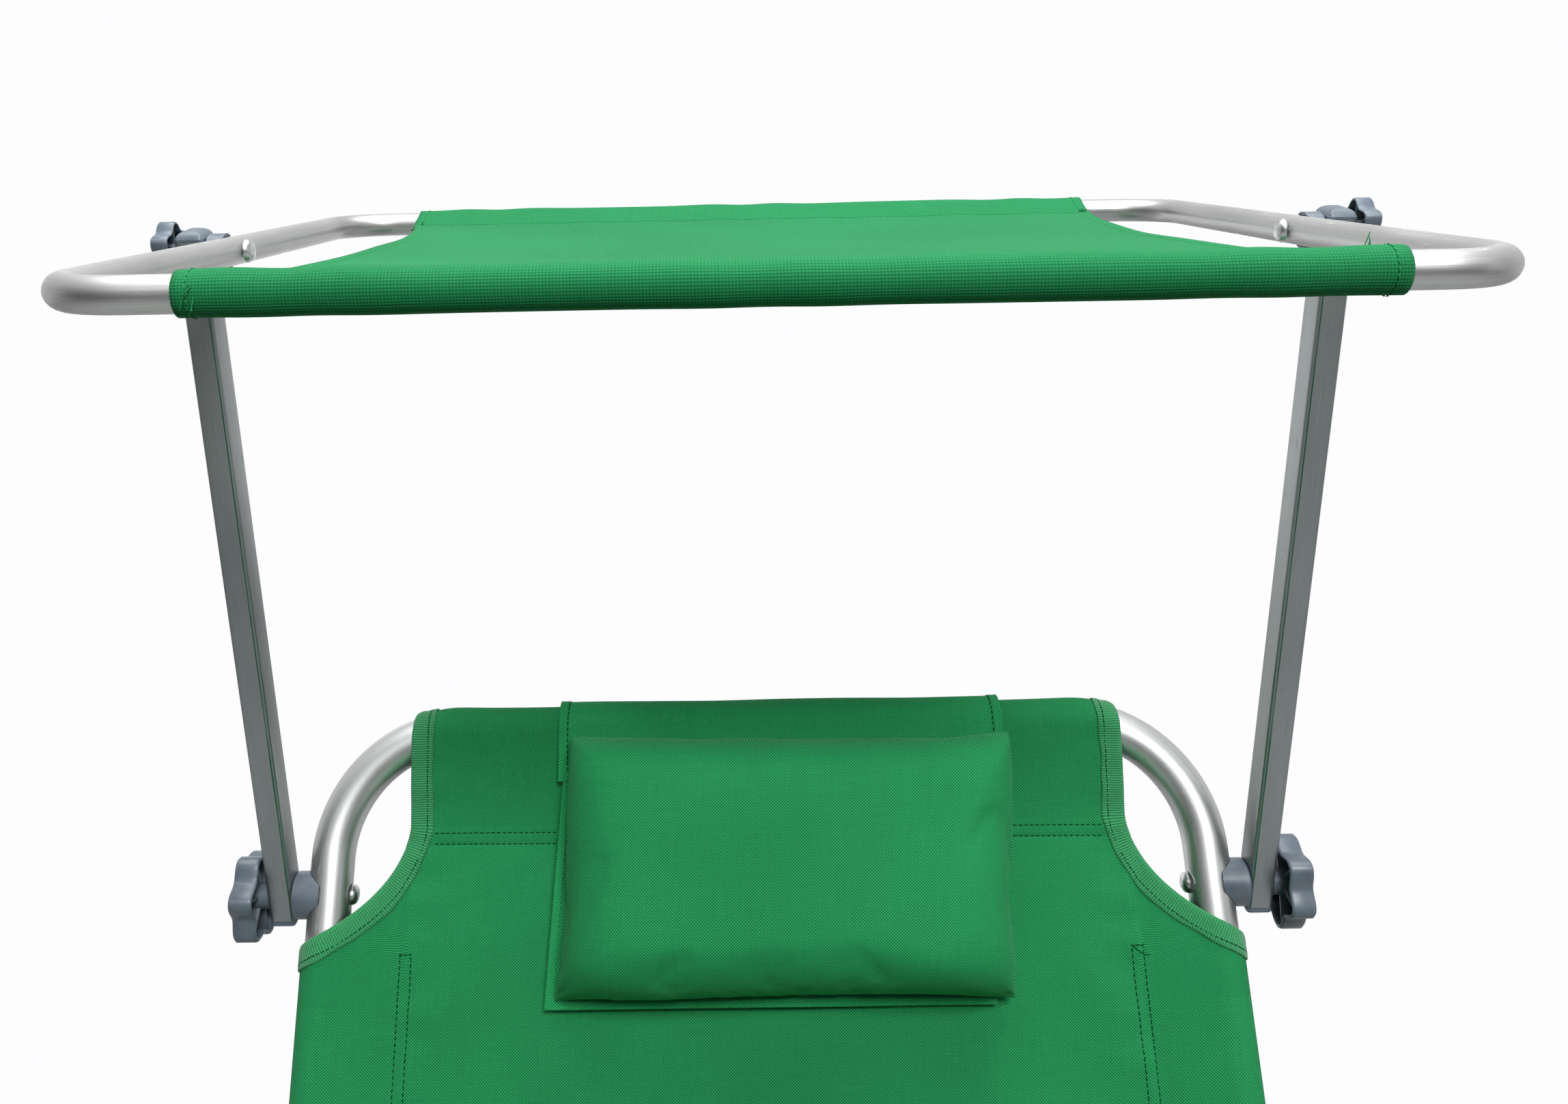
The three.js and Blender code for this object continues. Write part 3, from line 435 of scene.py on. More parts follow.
for ray, other in (("Is Glossy Ray", {"Color": room}), ("Is Camera Ray", {"Color": BACKDROP})):
    seen = add(tree, "Background", other)
    lit = add(tree, "MixShader", {0: add(tree, "LightPath", output=ray), 1: lit, 2: seen})
tree.links.new(lit, tree.nodes.new("ShaderNodeOutputWorld").inputs[0])
bpy.context.scene.view_settings.view_transform = "Standard"

# %% [markdown]
# The cloth is woven polyester. Where a thread passes over another it catches the light, and these
# light dots are painted into the colour as glints, on top of the weave's own pattern. They stand in rows
# that are offset by half a step, as the product of two sine waves along and across the cloth is. Threads
# differ a little, so noise drawn out along them makes them uneven, and slower noise tints the whole
# cloth.

# %% Woven cloth and sewing thread
WEAVE_PITCH = 1.85
RIB_PITCH = 1.5


def woven_cloth(name, dark, light, dots, on_bias=False):
    """Cloth whose light dots, painted glints, stand where the sines of the two thread directions agree.

    Cut on the bias, the same dots stand in a square grid, which is half the sum of two closer sines.
    """
    sheen = {"Sheen_Weight": 0.05, "Sheen_Roughness": 0.45, "Sheen_Tint": (0.5, 1.0, 0.7, 1)}
    material, tree, shader = new_material(name, 0.84, Specular_IOR_Level=0.22, **sheen)
    uv = cloth_uv(tree)
    turns = math.tau / WEAVE_PITCH * (math.sqrt(2) if on_bias else 1)
    waves = [sums(tree, "SINE", sums(tree, "MULTIPLY", axis_of(tree, uv, k), turns)) for k in (0, 1)]
    reach = 2 if on_bias else 1
    weave = grey(tree, sums(tree, "ADD" if on_bias else "MULTIPLY", *waves), 0, 1, -reach, reach)
    glint_strength = grey(tree, noise(tree, uv, 0.16, 2), 0.7 * dots, 1.3 * dots, 0.3, 0.7)
    weave_glints = sums(tree, "MULTIPLY", sums(tree, "SUBTRACT", weave, 0.5), glint_strength)
    slow = noise(tree, on_object(tree), 9, 4)
    warp = noise(tree, uv, 1.0, 2, (0.9, 0.03, 1))
    weft = noise(tree, uv, 1.0, 2, (0.03, 0.9, 1))
    threads = grey(tree, sums(tree, "ADD", warp, weft), -0.05, 0.05, 0.7, 1.3)
    uneven = sums(tree, "ADD", threads, grey(tree, slow, 0.44, 0.56, 0.3, 0.7))
    # The colour is the painted glints on the crossing threads, added to the uneven tone of the threads.
    coloured(tree, shader, sums(tree, "ADD", weave_glints, uneven), [(0.0, dark), (1.0, light)])
    soft = bumped(tree, shader, slow, 0.004, 0.25)
    bumped(tree, shader, weave, 0.0003, 0.8, Normal=soft)
    return material


green_cloth = woven_cloth("green_cloth", (0.0, 0.09, 0.014), (0.022, 0.36, 0.125), 1.05)
# A darker copy of the same green, cut on the bias with weaker dots: the darker colour is painted shade on
# the canopy, most of all on its front sleeve.
shaded_canopy_green = woven_cloth("shaded_canopy_green", (0.0, 0.083, 0.018), (0.010, 0.235, 0.080), 0.62, True)
# A lighter copy of the same green for the pillow, its flap and its backing: painted light, so that they
# stand brighter than the back's cloth behind them.
lit_pillow_green = woven_cloth("lit_pillow_green", (0.0, 0.115, 0.018), (0.030, 0.44, 0.155), 1.05)

webbing, tree, shader = new_material("webbing", 0.8, Sheen_Weight=0.2)
uv = cloth_uv(tree)
ribs = sums(tree, "SINE", sums(tree, "MULTIPLY", axis_of(tree, uv, 1), math.tau / RIB_PITCH))
ribs = grey(tree, ribs, 0, 1, -1, 1)
tone = sums(tree, "MULTIPLY_ADD", ribs, 0.6, grey(tree, noise(tree, uv, 0.8), 0.0, 0.5))
coloured(tree, shader, tone, [(0.1, (0.004, 0.12, 0.035)), (1.0, (0.035, 0.38, 0.13))])
bumped(tree, shader, ribs, 0.0004, 0.8)

thread, tree, shader = new_material("thread", 0.9, Specular_IOR_Level=0.08)
twist = noise(tree, on_object(tree), 900)
coloured(tree, shader, twist, [(0.3, (0.0, 0.03, 0.009)), (0.7, (0.002, 0.07, 0.024))])

# %% [markdown]
# The tubes are satin anodised aluminium. Drawing leaves fine lines along a tube, so the noise is
# stretched along the v direction of its UVs. The arms are darker, every part has been handled, and
# a thin green line, a painted reflection of the green cloth, runs along one rounded edge of each arm.

# %% Metals and plastic
# The place across an arm, in millimetres of its UVs, where the painted reflection of the green cloth
# runs.
ARM_REFLECTION_LINE = 15.6


def drawn_metal(name, dark, light, rough, metallic=1.0, lines=1.0, reflection_at=None):
    """Metal with fine lines along the piece, cloudy wear, a few scratches, and, where a place is given, a
    painted reflection line.
    """
    material, tree, shader = new_material(name, rough, metallic)
    uv = cloth_uv(tree)
    drawn = noise(tree, uv, 1.0, 3, (1.6, 0.02, 1))
    cloud = noise(tree, on_object(tree), 14, 4)
    scratch = noise(tree, uv, 1.0, 1, (0.25, 0.03, 1))
    thin = ramp(tree, scratch, [(0.495, (0, 0, 0)), (0.5, (1, 1, 1)), (0.505, (0, 0, 0))])
    tone = sums(tree, "MULTIPLY_ADD", drawn, 0.5 * lines, grey(tree, cloud, 0.0, 0.5))
    colour = ramp(tree, tone, [(0.25, dark), (0.75, light)])
    # Painted reflection: a thin dark green line where the arm's rounded edge mirrors the cloth.
    if reflection_at:
        off_reflection = sums(tree, "ABSOLUTE", sums(tree, "SUBTRACT", axis_of(tree, uv, 0), reflection_at))
        broken_reflection = grey(tree, noise(tree, uv, 1.0, 3, (0.5, 0.02, 1)), 0.35, 1.0, 0.35, 0.5)
        line = sums(tree, "MULTIPLY", grey(tree, off_reflection, 1.0, 0.0, 0.2, 0.42), broken_reflection)
        colour = mixed(tree, line, colour, (0.01, 0.085, 0.045))
    tree.links.new(colour, shader.inputs["Base Color"])
    level = sums(tree, "MULTIPLY_ADD", cloud, 0.16, grey(tree, thin, rough - 0.08, rough + 0.08))
    tree.links.new(level, shader.inputs["Roughness"])
    bumped(tree, shader, drawn, 0.00006, 0.5 * lines)
    return material


def speckled(name, metallic, patches, dark, light, rough, grain, depth, strength):
    """A finish whose colour and roughness follow one noise on the object, and its bumps another."""
    material, tree, shader = new_material(name, rough[1], metallic)
    patch = noise(tree, on_object(tree), *patches)
    coloured(tree, shader, patch, [(0.3, dark), (0.7, light)])
    tree.links.new(grey(tree, patch, *rough), shader.inputs["Roughness"])
    bumped(tree, shader, noise(tree, on_object(tree), *grain), depth, strength)
    return material


aluminium = drawn_metal("satin_aluminium", (0.47, 0.48, 0.48), (0.66, 0.67, 0.67), 0.4)
canopy_metal = drawn_metal("canopy_aluminium", (0.36, 0.365, 0.36), (0.53, 0.535, 0.53), 0.42)
arm_tones = (0.20, 0.22, 0.225), (0.33, 0.355, 0.355)
arm_metal = drawn_metal("arm_aluminium", *arm_tones, 0.34, 0.75, 0.6, ARM_REFLECTION_LINE)
zinc_tones = (0.42, 0.43, 0.43), (0.68, 0.69, 0.70)
zinc = speckled("zinc_steel", 1.0, (220, 2), *zinc_tones, (0.22, 0.42), (220, 2), 0.00005, 0.4)
slate_tones = (0.075, 0.098, 0.125), (0.115, 0.145, 0.178)
slate = speckled("slate_plastic", 0.0, (60, 4), *slate_tones, (0.28, 0.5), (1500, 2), 0.00004, 0.35)

for name, node in frame["nodes"].items():
    finish = zinc if "bracket" in name or "pin" in name or "bolt" in name else slate
    finish = aluminium if "tube" in name or "frame" in name or name.endswith("_leg") else finish
    node.data.materials.clear()
    node.data.materials.append(finish)


# %% [markdown]
# The floor is a pale disc under the object. Its edge turns transparent to the camera, so that it
# melts into the white background as a studio sweep does. It throws little light back on to the
# cloth, as in the photograph, where the underside of the pillow is dark, but metal mirrors it pale.

# %% Floor
FLOOR_RADIUS = 4000
FLOOR_DEPTH = 0.2
FLOOR_BOUNCE = (0.10, 0.10, 0.10)
FLOOR_MIRRORED = (0.5, 0.5, 0.5)
FLOOR_FADE = (1.0, 1.5)
rings = np.linspace(0, FLOOR_RADIUS, 12)[:, None]
turn = np.linspace(0, math.tau, 64, endpoint=False)[None]
disc = np.stack([rings * np.cos(turn), rings * np.sin(turn), 0 * rings * turn - FLOOR_DEPTH], -1)
floor_finish, tree, shader = new_material("pale_floor", 0.7)
place = on_object(tree)
pale = ramp(tree, noise(tree, place, 30, 4), [(0.3, (0.80, 0.80, 0.80)), (0.7, (0.86, 0.86, 0.86))])
by_camera = add(tree, "LightPath", output="Is Camera Ray")
unseen = mixed(tree, add(tree, "LightPath", output="Is Glossy Ray"), FLOOR_BOUNCE, FLOOR_MIRRORED)
tree.links.new(mixed(tree, by_camera, unseen, pale), shader.inputs["Base Color"])
far = add(tree, "VectorMath", {0: place}, output=1, operation="LENGTH")
fade = sums(tree, "MULTIPLY", grey(tree, far, 0, 1, *FLOOR_FADE, **smoothly), by_camera)
shares = {0: fade, 1: shader.outputs[0], 2: add(tree, "BsdfTransparent")}
tree.links.new(add(tree, "MixShader", shares), tree.nodes["Material Output"].inputs[0])
make_piece("floor", surface(disc, False, True), material=floor_finish)

# %% [markdown]
# The frame is made of bent tube. A circle of the tube's radius is carried along a flat path and
# kept square to it; at an open end the surface turns inside, so that the wall shows.


# %% Tubes along a path
def arc(centre, radius, start, end, steps):
    """Points of a circular arc between two angles."""
    angles = np.linspace(start, end, steps)[:, None]
    return np.asarray(centre) + radius * np.concatenate([np.cos(angles), np.sin(angles)], -1)


def u_path(half, start, length, bend, steps):
    """A U in the plane: up one side, round a bend, across at y = length, and down the other side."""
    right = arc((half - bend, length - bend), bend, 0, math.pi / 2, steps)
    left = right[::-1] * [-1, 1]
    middle = np.linspace(right[-1], left[0], 12)[1:-1]
    up = np.linspace((half, start), right[0], 10)[:-1]
    return np.concatenate([up, right, middle, left, up[::-1] * [-1, 1]])


def normals_of(path, loop):
    """Unit normals of a flat path, in its plane, from the mean direction of the steps at a point."""
    units = unit(np.roll(path, -1, 0) - path if loop else np.diff(path, axis=0))
    if loop:
        ahead = units + np.roll(units, 1, 0)
    else:
        ahead = np.concatenate([units[:1], units[:-1] + units[1:], units[-1:]])
    return unit(ahead)[:, ::-1] * [-1, 1]


def tube(path, radius, wall=None, sides=32, loop=False, sunk=0.0):
    """The rings path + r (cos a normal + sin a up), in the plane z = 0. A wall makes it hollow."""
    normals, distance = normals_of(path, loop), travelled(path)
    angle = np.linspace(0, math.tau, sides, endpoint=False)
    reach = (radius - sunk + np.zeros(len(path)))[:, None]
    shells = []
    for share in (1, 1 - (wall or 0) / radius):
        across, up = reach * np.cos(angle) * share, reach * np.sin(angle) * share
        flat = path[:, None] + across[..., None] * normals[:, None]
        shells.append(np.concatenate([flat, up[..., None]], -1))
    if not wall:
        return closed(shells[0], loop, distance, angle * radius)
    both = np.concatenate([shells[0], shells[1][::-1]])
    return closed(both, True, np.append(distance, distance[::-1]), angle * radius)


TUBE_WALL = 1.2
back_tube = tube(u_path(SIDE, SETBACK, BACK_LENGTH, HEAD_BEND, 24), TUBE, TUBE_WALL)
foot_tube = tube(u_path(SIDE, SETBACK, FOOT_LENGTH, FOOT_BEND, 20), TUBE, TUBE_WALL)
side_path = np.stack([np.full(12, SIDE), np.linspace(SETBACK - SEAT_LENGTH, -SETBACK, 12)], -1)
seat_tube = moved(tube(side_path, TUBE, TUBE_WALL), on_seat)
make_piece("back_tube", moved(back_tube, on_back), "back", aluminium, ["back_frame"])
make_piece("foot_tube", moved(foot_tube, on_foot), "foot", aluminium, ["foot_frame"])
both_sides("seat_side_tube", seat_tube, "seat", aluminium, "seat_tube")
print("back tube points", len(back_tube[0]))

# %% [markdown]
# Each leg is a smaller U of the same tube. Its ends turn on rivets in the brackets, and two plastic
# glides grip its floor bar, with a flat sole that stands on the ground.

# %% Legs and glides
LEG = 12.5
LEG_BEND = 60
LEG_END = 9
LEG_DROP = 36
LEG_LENGTH = 242.1
LEG_ANGLE = math.radians(70)
HEAD_LEG_ANGLE = math.radians(178)
SEAT_BRACKET, FOOT_BRACKET, HEAD_BRACKET = -66, 460, 390
LEGS = {
    "seat": (on_seat, SEAT_BRACKET, LEG_ANGLE),
    "foot": (on_foot, FOOT_BRACKET, LEG_ANGLE),
    "head": (on_back, HEAD_BRACKET, HEAD_LEG_ANGLE),
}
GLIDE = 15
GLIDE_HALF = 18
GLIDE_X = SIDE - LEG_BEND - 26
GLIDE_LAP = math.radians(48)
GLIDE_POINTS = 96
SOLE = 16.5
SOLE_HALF = 10


def prism(outline, levels):
    """An outline in (y, z) carried along x. Each level is (x, inset), and an inset draws it in."""
    inward = normals_of(outline, True)
    rows = []
    for x, inset in levels:
        ring = outline + inward * inset if np.isfinite(inset) else outline * 0 + outline.mean(0)
        rows.append(np.column_stack([np.full(len(ring), float(x)), ring]))
    return closed(np.stack(rows))


def resampled(corners, count):
    """Points at even distances along a closed outline."""
    loop = np.vstack([corners, corners[:1]])
    distance = travelled(loop)
    wanted = np.linspace(0, distance[-1], count, endpoint=False)
    return np.stack([np.interp(wanted, distance, axis) for axis in loop.T], -1)


sole_line = [[-SOLE_HALF, -SOLE], [SOLE_HALF, -SOLE]]
glide_round = arc((0, 0), GLIDE, -GLIDE_LAP, math.pi + GLIDE_LAP, 60)
glide_outline = resampled(np.vstack([sole_line, glide_round]), GLIDE_POINTS)
around = np.arctan2(glide_outline[:, 1], glide_outline[:, 0])
bore = np.stack([np.cos(around), np.sin(around)], -1) * (LEG + 0.2)
edge = [(GLIDE_HALF - 2, 0), (GLIDE_HALF - 0.6, 0.6), (GLIDE_HALF, 2)]
skin = prism(glide_outline, [(-x, inset) for x, inset in edge[::-1]] + edge)[0]
first, last = (np.insert(bore, 0, float(x), 1)[None] for x in (-GLIDE_HALF, GLIDE_HALF))
glide = closed(np.concatenate([first, skin.reshape(-1, GLIDE_POINTS, 3), last]), True)

for name, (section, place, angle) in LEGS.items():
    turned = lambda points: section(placed(points, -angle, (0, place, -LEG_DROP)))
    seated = lambda points: turned(placed(points, LEG_ANGLE, (GLIDE_X, LEG_LENGTH, 0)))
    leg = moved(tube(u_path(SIDE, -LEG_END, LEG_LENGTH, LEG_BEND, 20), LEG, TUBE_WALL, 28), turned)
    body = f"{name}_leg"
    make_piece(f"{name}_leg_tube", leg, body, aluminium, [body])
    both_sides(f"{name}_foot_glide", moved(glide, seated), body, slate, f"{name}_glide")


# %% [markdown]
# The three sections turn on ratchets of moulded plastic: a toothed disc on the seat's side, a plain
# one behind it, and a short neck down to the collar that grips the tube. A steel pin goes through.


# %% Ratchets
def turned_x(rows, columns=48, lobes=0):
    """A profile turned round X. A row is (x, radius, amplitude), and lobes add amplitude cos(n a)."""
    angle = np.linspace(0, math.tau, columns, endpoint=False)
    x, radius, amplitude = np.array([(*row, 0)[:3] for row in rows], float).T
    reach = radius[:, None] + amplitude[:, None] * np.cos(lobes * angle)
    points = np.stack([x[:, None] + 0 * reach, reach * np.cos(angle), reach * np.sin(angle)], -1)
    along = travelled(np.stack([x, radius], -1))
    return closed(points, False, along, angle * max(radius.max(), 1))


DISC = 28
DISC_INNER = 0.3
DISC_OUTER = 13.3
DISC_FACE = DISC_OUTER - 2
HUB = 11
HUB_FACE = DISC_OUTER + 2.4
SLOTS = 8
SLOT_DEPTH = 1.6


def ratchet_disc(way, toothed):
    """One disc beside the plane x = SIDE: rim, sunk face and hub, and, on a toothed disc, eight radial
    slots.
    """
    back = [(DISC_INNER, 0), (DISC_INNER, DISC - 1), (DISC_INNER + 1, DISC)]
    rim = [(DISC_FACE, DISC), (DISC_OUTER - 0.6, DISC - 0.6), *((DISC_OUTER, DISC - r) for r in (2, 6))]
    sunk = [(DISC_FACE + 0.4, DISC - 6.6), *((DISC_FACE, r) for r in (DISC - 7.4, 19, 17, 14, HUB + 1))]
    hub = [(DISC_FACE + 0.6, HUB), (HUB_FACE - 0.6, HUB), (HUB_FACE, HUB - 1), (HUB_FACE, 0)]
    points, quads, uv = turned_x(back + rim + sunk + hub, 128)
    if toothed:
        x, y, z = points.T
        radius = np.hypot(y, z)
        slot = (radius > 13) & (radius < 20) & (x < DISC_FACE + 0.1) & (x > 5)
        points[:, 0] -= SLOT_DEPTH * (slot & (np.cos(SLOTS * np.arctan2(z, y)) > 0.35))
    return moved((points, quads, uv), lambda p: p * [way, 1, 1] + [SIDE, 0, RISE])


def ratchet_neck(way):
    """A bevelled plate from the disc down to the tube, then the collar round the tube."""
    round_top = arc((0, RISE), DISC - 2, math.radians(75), math.radians(235), 40)
    outline = resampled(np.vstack([round_top, [[8, -15], [33, -15], [33, 13]]]), 110)
    low, high = DISC_INNER, DISC_OUTER - 1.5
    levels = [(low, math.inf), (low, 1), (low + 1, 0), (high - 1.5, 0), (high, 1.5), (high, math.inf)]
    plate = moved(prism(outline, levels), lambda p: p * [way, 1, 1] + [SIDE, 0, 0])
    rows = [(31.5, 12.9), (32, 14.6), (32.8, 15), (39, 15), (39.7, 14.4), (39.7, 12.9)]
    return plate, moved(turned_x(rows, 40), lambda p: p[:, [1, 0, 2]] + [SIDE, 0, 0])


def at_knee(points):
    """The seat section again, with y from the knee."""
    return on_seat(points - [0, SEAT_LENGTH, 0])


for name, node, way, section, end, body in (
    ("back_hinge_outer", "back_ratchet_seat_side", 1, on_seat, -1, "seat"),
    ("knee_outer", "knee_ratchet_seat_side", 1, at_knee, 1, "seat"),
    ("back_hinge_inner", "back_ratchet_back_side", -1, on_back, 1, "back"),
    ("knee_inner", "knee_ratchet_foot_side", -1, on_foot, 1, "foot"),
):
    half = joined(ratchet_disc(way, way > 0), *ratchet_neck(way))
    half = moved(half, lambda p: p * [1, end, 1]) if end < 0 else half
    both_sides(name, moved(half, section), body, slate, node)

PIN_REACH = 14
pin_rows = [(2.6, 0), (2.6, 4), (1.9, 7.2), (0.6, 8.5), (0, 8.5), (0, 4)]
pin_rows = [(PIN_REACH + x, r) for x, r in pin_rows]
pin = turned_x(pin_rows + [(-x, r) for x, r in pin_rows[::-1]], 40)
for name, node, section in (
    ("back_hinge_pin", "back_ratchet_pin", on_seat),
    ("knee_pin", "knee_ratchet_pin", at_knee),
):
    in_place = moved(pin, lambda p: section(p + [SIDE, 0, RISE]))
    both_sides(name, in_place, "seat", zinc, node)


# %% [markdown]
# Two long cloths make the bed. The first runs from the top tube down the back and over half of the
# seat, the second over the rest of the seat and the foot section, and they are sewn together in the
# middle. Each cloth is wrapped round the side tubes and round its end tube, and sewn to itself.
# In cross-section it lies flat up to a seam, runs straight on to the tube, round it and back.

# %% Wrapping cloth round a tube
CLOTH = 1.2
WRAP = 15.2
WRAP_LAP = 1.3
SIDE_SEAM = 48
END_SEAM = 70
HEM = 11
CLOTH_SIDE = 390.4


def wrap(distance, seam, centre, radius=WRAP):
    """Place, height and normal's angle at a distance along a cloth that goes round a circle.

    It lies flat up to the seam, follows the tangent to the circle, goes round it, follows the other
    tangent back to the seam, a little lower, and ends in a flat hem.
    """
    slope = np.arcsin(radius / (centre - seam))
    run = np.sqrt((centre - seam) ** 2 - radius**2)
    round_it = radius * (math.pi + 2 * slope)
    first = np.clip(distance - seam, 0, run)
    last = np.clip(distance - seam - run - round_it, 0, run)
    hem = np.clip(distance - seam - 2 * run - round_it, 0, None)
    angle = math.pi / 2 + slope - np.clip((distance - seam - run) / radius, 0, math.pi + 2 * slope)
    before = distance < seam + run
    flat = np.minimum(distance, seam) + first * np.cos(slope)
    place = np.where(before, flat, centre + radius * np.cos(angle) - last * np.cos(slope) - hem)
    lower = radius * np.sin(angle) + last * np.sin(slope) - WRAP_LAP * last / run
    height = np.where(before, first * np.sin(slope), lower)
    normal = np.where(distance <= seam, math.pi / 2, np.where(hem > 0, -math.pi / 2, angle))
    return place, height, normal


def soft_step(value, low, high):
    """Zero below low, one above high, and a smooth cubic between them."""
    t = np.clip((value - low) / (high - low), 0, 1)
    return t * t * (3 - 2 * t)


def bump_at(value, middle, width):
    """A bell curve."""
    return np.exp(-(((value - middle) / width) ** 2))


def wrapped_end(length):
    """The distance along a cloth to the edge of its end hem."""
    run, turn = math.sqrt(END_SEAM**2 - WRAP**2), math.pi + 2 * math.asin(WRAP / END_SEAM)
    return length - END_SEAM + 2 * run + WRAP * turn + HEM


print("cloth ends at", round(wrapped_end(BACK_LENGTH), 1))

# %% [markdown]
# Stretched cloth isn't flat. It hangs a few millimetres between the tubes, pulls in short creases
# along its seams, and folds softly from the shoulders, where the sleeves pull on it.

# %% Sag and creases
SIDE_SEAMS = (231, 238)
END_SEAMS = (4, -3)
SHOULDER = 234
SHOULDER_LOW = 137
DRAWN_LOW = 170
SAG = 4.5
FURROW = (0.45, 0.9)


def relief(u, s, length, start):
    """How far the cloth stands off its plane: sag, creases at the seams and folds at the shoulders."""
    side, top = np.abs(u), length - END_SEAM - s
    inner, outer = SIDE_SEAMS
    inside = soft_step(outer - side, 0, 60)
    sag = -SAG * inside * soft_step(top, 0, 90)
    puckers = np.sin(s / 6.1 + 1.3 * np.sin(s / 41)) + 0.6 * np.sin(s / 3.7 + np.sign(u))
    puckers = 0.55 * bump_at(side, 226, 13) * (side < outer) * puckers
    slow = 0.9 * inside * (np.sin(u / 61 + s / 83) + 0.7 * np.sin(u / 37 - s / 57 + 1.1))
    ridge = 0.7 * soft_step(side, inner - 2.5, inner) * (1 - soft_step(side, outer, outer + 2.5))
    end_puckers = 0.5 * bump_at(top, 14, 12) * np.sin(u / 7.3 + 1.7 * np.sin(u / 57))
    end_ridge = 0.6 * soft_step(-top, -3.5, -1) * (1 - soft_step(-top, 4.5, 7))
    at_end = (end_puckers + end_ridge) * (side < SHOULDER)
    corner = bump_at(side - 0.35 * (length - SHOULDER_LOW - s), 224, 26) * (side < outer)
    folds = 1.1 * corner * bump_at(s, length - DRAWN_LOW, 60) * np.sin((side + 0.6 * s) / 9.5)
    depth, width = FURROW
    down = sum(bump_at(side, line, width) for line in SIDE_SEAMS) * (s < length - 120)
    across = sum(bump_at(-top, line, width) for line in END_SEAMS) * (side < 221)
    seams = ridge + at_end + folds - depth * (down + across)
    return sag + soft_step(s - start, 15, 70) * (puckers + slow) + seams


class Sling:
    """One cloth: its point at (u, s), u across and s along, h off its middle surface."""

    def __init__(self, length, bend, start, place):
        self.length, self.bend, self.start, self.place = length, bend, start, place

    def point(self, u, s, h=0.0):
        """The point in its place on the object. The two wraps, across and along, add their heights."""
        u, s = np.broadcast_arrays(np.asarray(u, float), np.asarray(s, float))
        x, rise_x, turn_x = wrap(np.abs(u), SIDE - SIDE_SEAM, SIDE)
        beyond = np.clip(x - (SIDE - self.bend), 0, self.bend - 1)
        drop = np.minimum(self.bend - np.sqrt(self.bend**2 - beyond**2), 12)
        y, rise_y, turn_y = wrap(s, self.length - END_SEAM, self.length - drop)
        flat_x, flat_y = np.sin(turn_x), np.sin(turn_y)
        off = np.stack([np.cos(turn_x) * flat_y, np.cos(turn_y) * flat_x, flat_x * flat_y], -1)
        off /= np.maximum(np.linalg.norm(off, axis=-1, keepdims=True), 1e-6)
        height = relief(u, s, self.length, self.start) + h
        base = np.stack([x, y, rise_x + rise_y], -1) + off * height[..., None]
        base[..., 0] *= np.sign(u)
        return self.place(base)


FILLET = 40
FILLET_RADIUS = FILLET / math.tan(RECLINE / 2)
BACK_TANGENT = FILLET - RISE * math.tan(RECLINE / 2)
SEAT_TANGENT = BACK_TANGENT - FILLET_RADIUS * RECLINE
SEAT_SHIFT = SEAT_TANGENT + BACK_TANGENT


def down_the_back(points):
    """Up the back for y above the fillet, round the fillet at the hinge, and level on the seat."""
    x, y, z = points[..., 0], points[..., 1], points[..., 2]
    turn = RECLINE - np.clip((BACK_TANGENT - y) / FILLET_RADIUS, 0, RECLINE)
    beyond = np.maximum(y - BACK_TANGENT, 0) + np.minimum(y - SEAT_TANGENT, 0)
    reach = FILLET_RADIUS - z
    centre = HINGE + np.array([0, -BACK_TANGENT, FILLET_RADIUS - RISE])
    across = centre[1] + reach * np.sin(turn) + beyond * np.cos(turn)
    return np.stack([x, across, centre[2] - reach * np.cos(turn) + beyond * np.sin(turn)], -1)


LAP = 8
LAP_EDGE = -SEAT_LENGTH / 2 - LAP
back_cloth = Sling(BACK_LENGTH, HEAD_BEND, LAP_EDGE + SEAT_SHIFT, down_the_back)
foot_cloth = Sling(FOOT_LENGTH, FOOT_BEND, LAP_EDGE, on_foot)
print("fillet radius", round(FILLET_RADIUS, 1), "seat shift", round(SEAT_SHIFT, 1))

# %% [markdown]
# At the head and foot ends the corners of the cloth are cut away in a curve, so that the bends of
# the tube stay bare. The rows of the grid beyond a sleeve's edge are drawn down on to that curve.
# The cloth is also open round the ratchets and round the brackets of the legs.

# %% The two cloths
SHOULDER_TOP = 62
SHOULDER_PULL = (242, 112)
MID_SIDE = (SHOULDER + CLOTH_SIDE) / 2
FINE_COLUMNS = [227, 229.6, 231, 232.4, 234, 236.6, 238, 239.4, 241]
COLUMNS = [0, 180, 204, *FINE_COLUMNS, 250, 265.4, 283.5, 305, 312.2, 341, 357, 359, CLOTH_SIDE]
FINE_ROWS = [-6, -4.4, -3, -1.6, 0, 1, 2.6, 4, 5.4, 7]
GRID_STEP = 5


def shoulder_curve(t):
    """Quadratic Bezier from the shoulder's top to the outermost line of the sleeve: (u, drop)."""
    t = np.asarray(t)[..., None]
    keys = (SHOULDER, SHOULDER_TOP), SHOULDER_PULL, (MID_SIDE, SHOULDER_LOW)
    first, pull, last = np.array(keys, float)
    return first * (1 - t) ** 2 + 2 * pull * t * (1 - t) + last * t**2


def edge_drop(u):
    """How far below the end tube the sleeve's edge lies, the same on both faces of the sleeve."""
    curve = shoulder_curve(np.linspace(0, 1, 60))
    return np.interp(MID_SIDE - np.abs(np.abs(u) - MID_SIDE), *curve.T)


def filled(keys, step):
    """The key values with even steps between them."""
    keys = sorted(keys)
    pairs = [(a, b, max(1, round((b - a) / step))) for a, b in zip(keys, keys[1:])]
    return np.concatenate([*(np.linspace(*pair, endpoint=False) for pair in pairs), keys[-1:]])


def both_ways(half):
    """Values from zero up, and the same below zero."""
    return np.concatenate([-half[:0:-1], half])


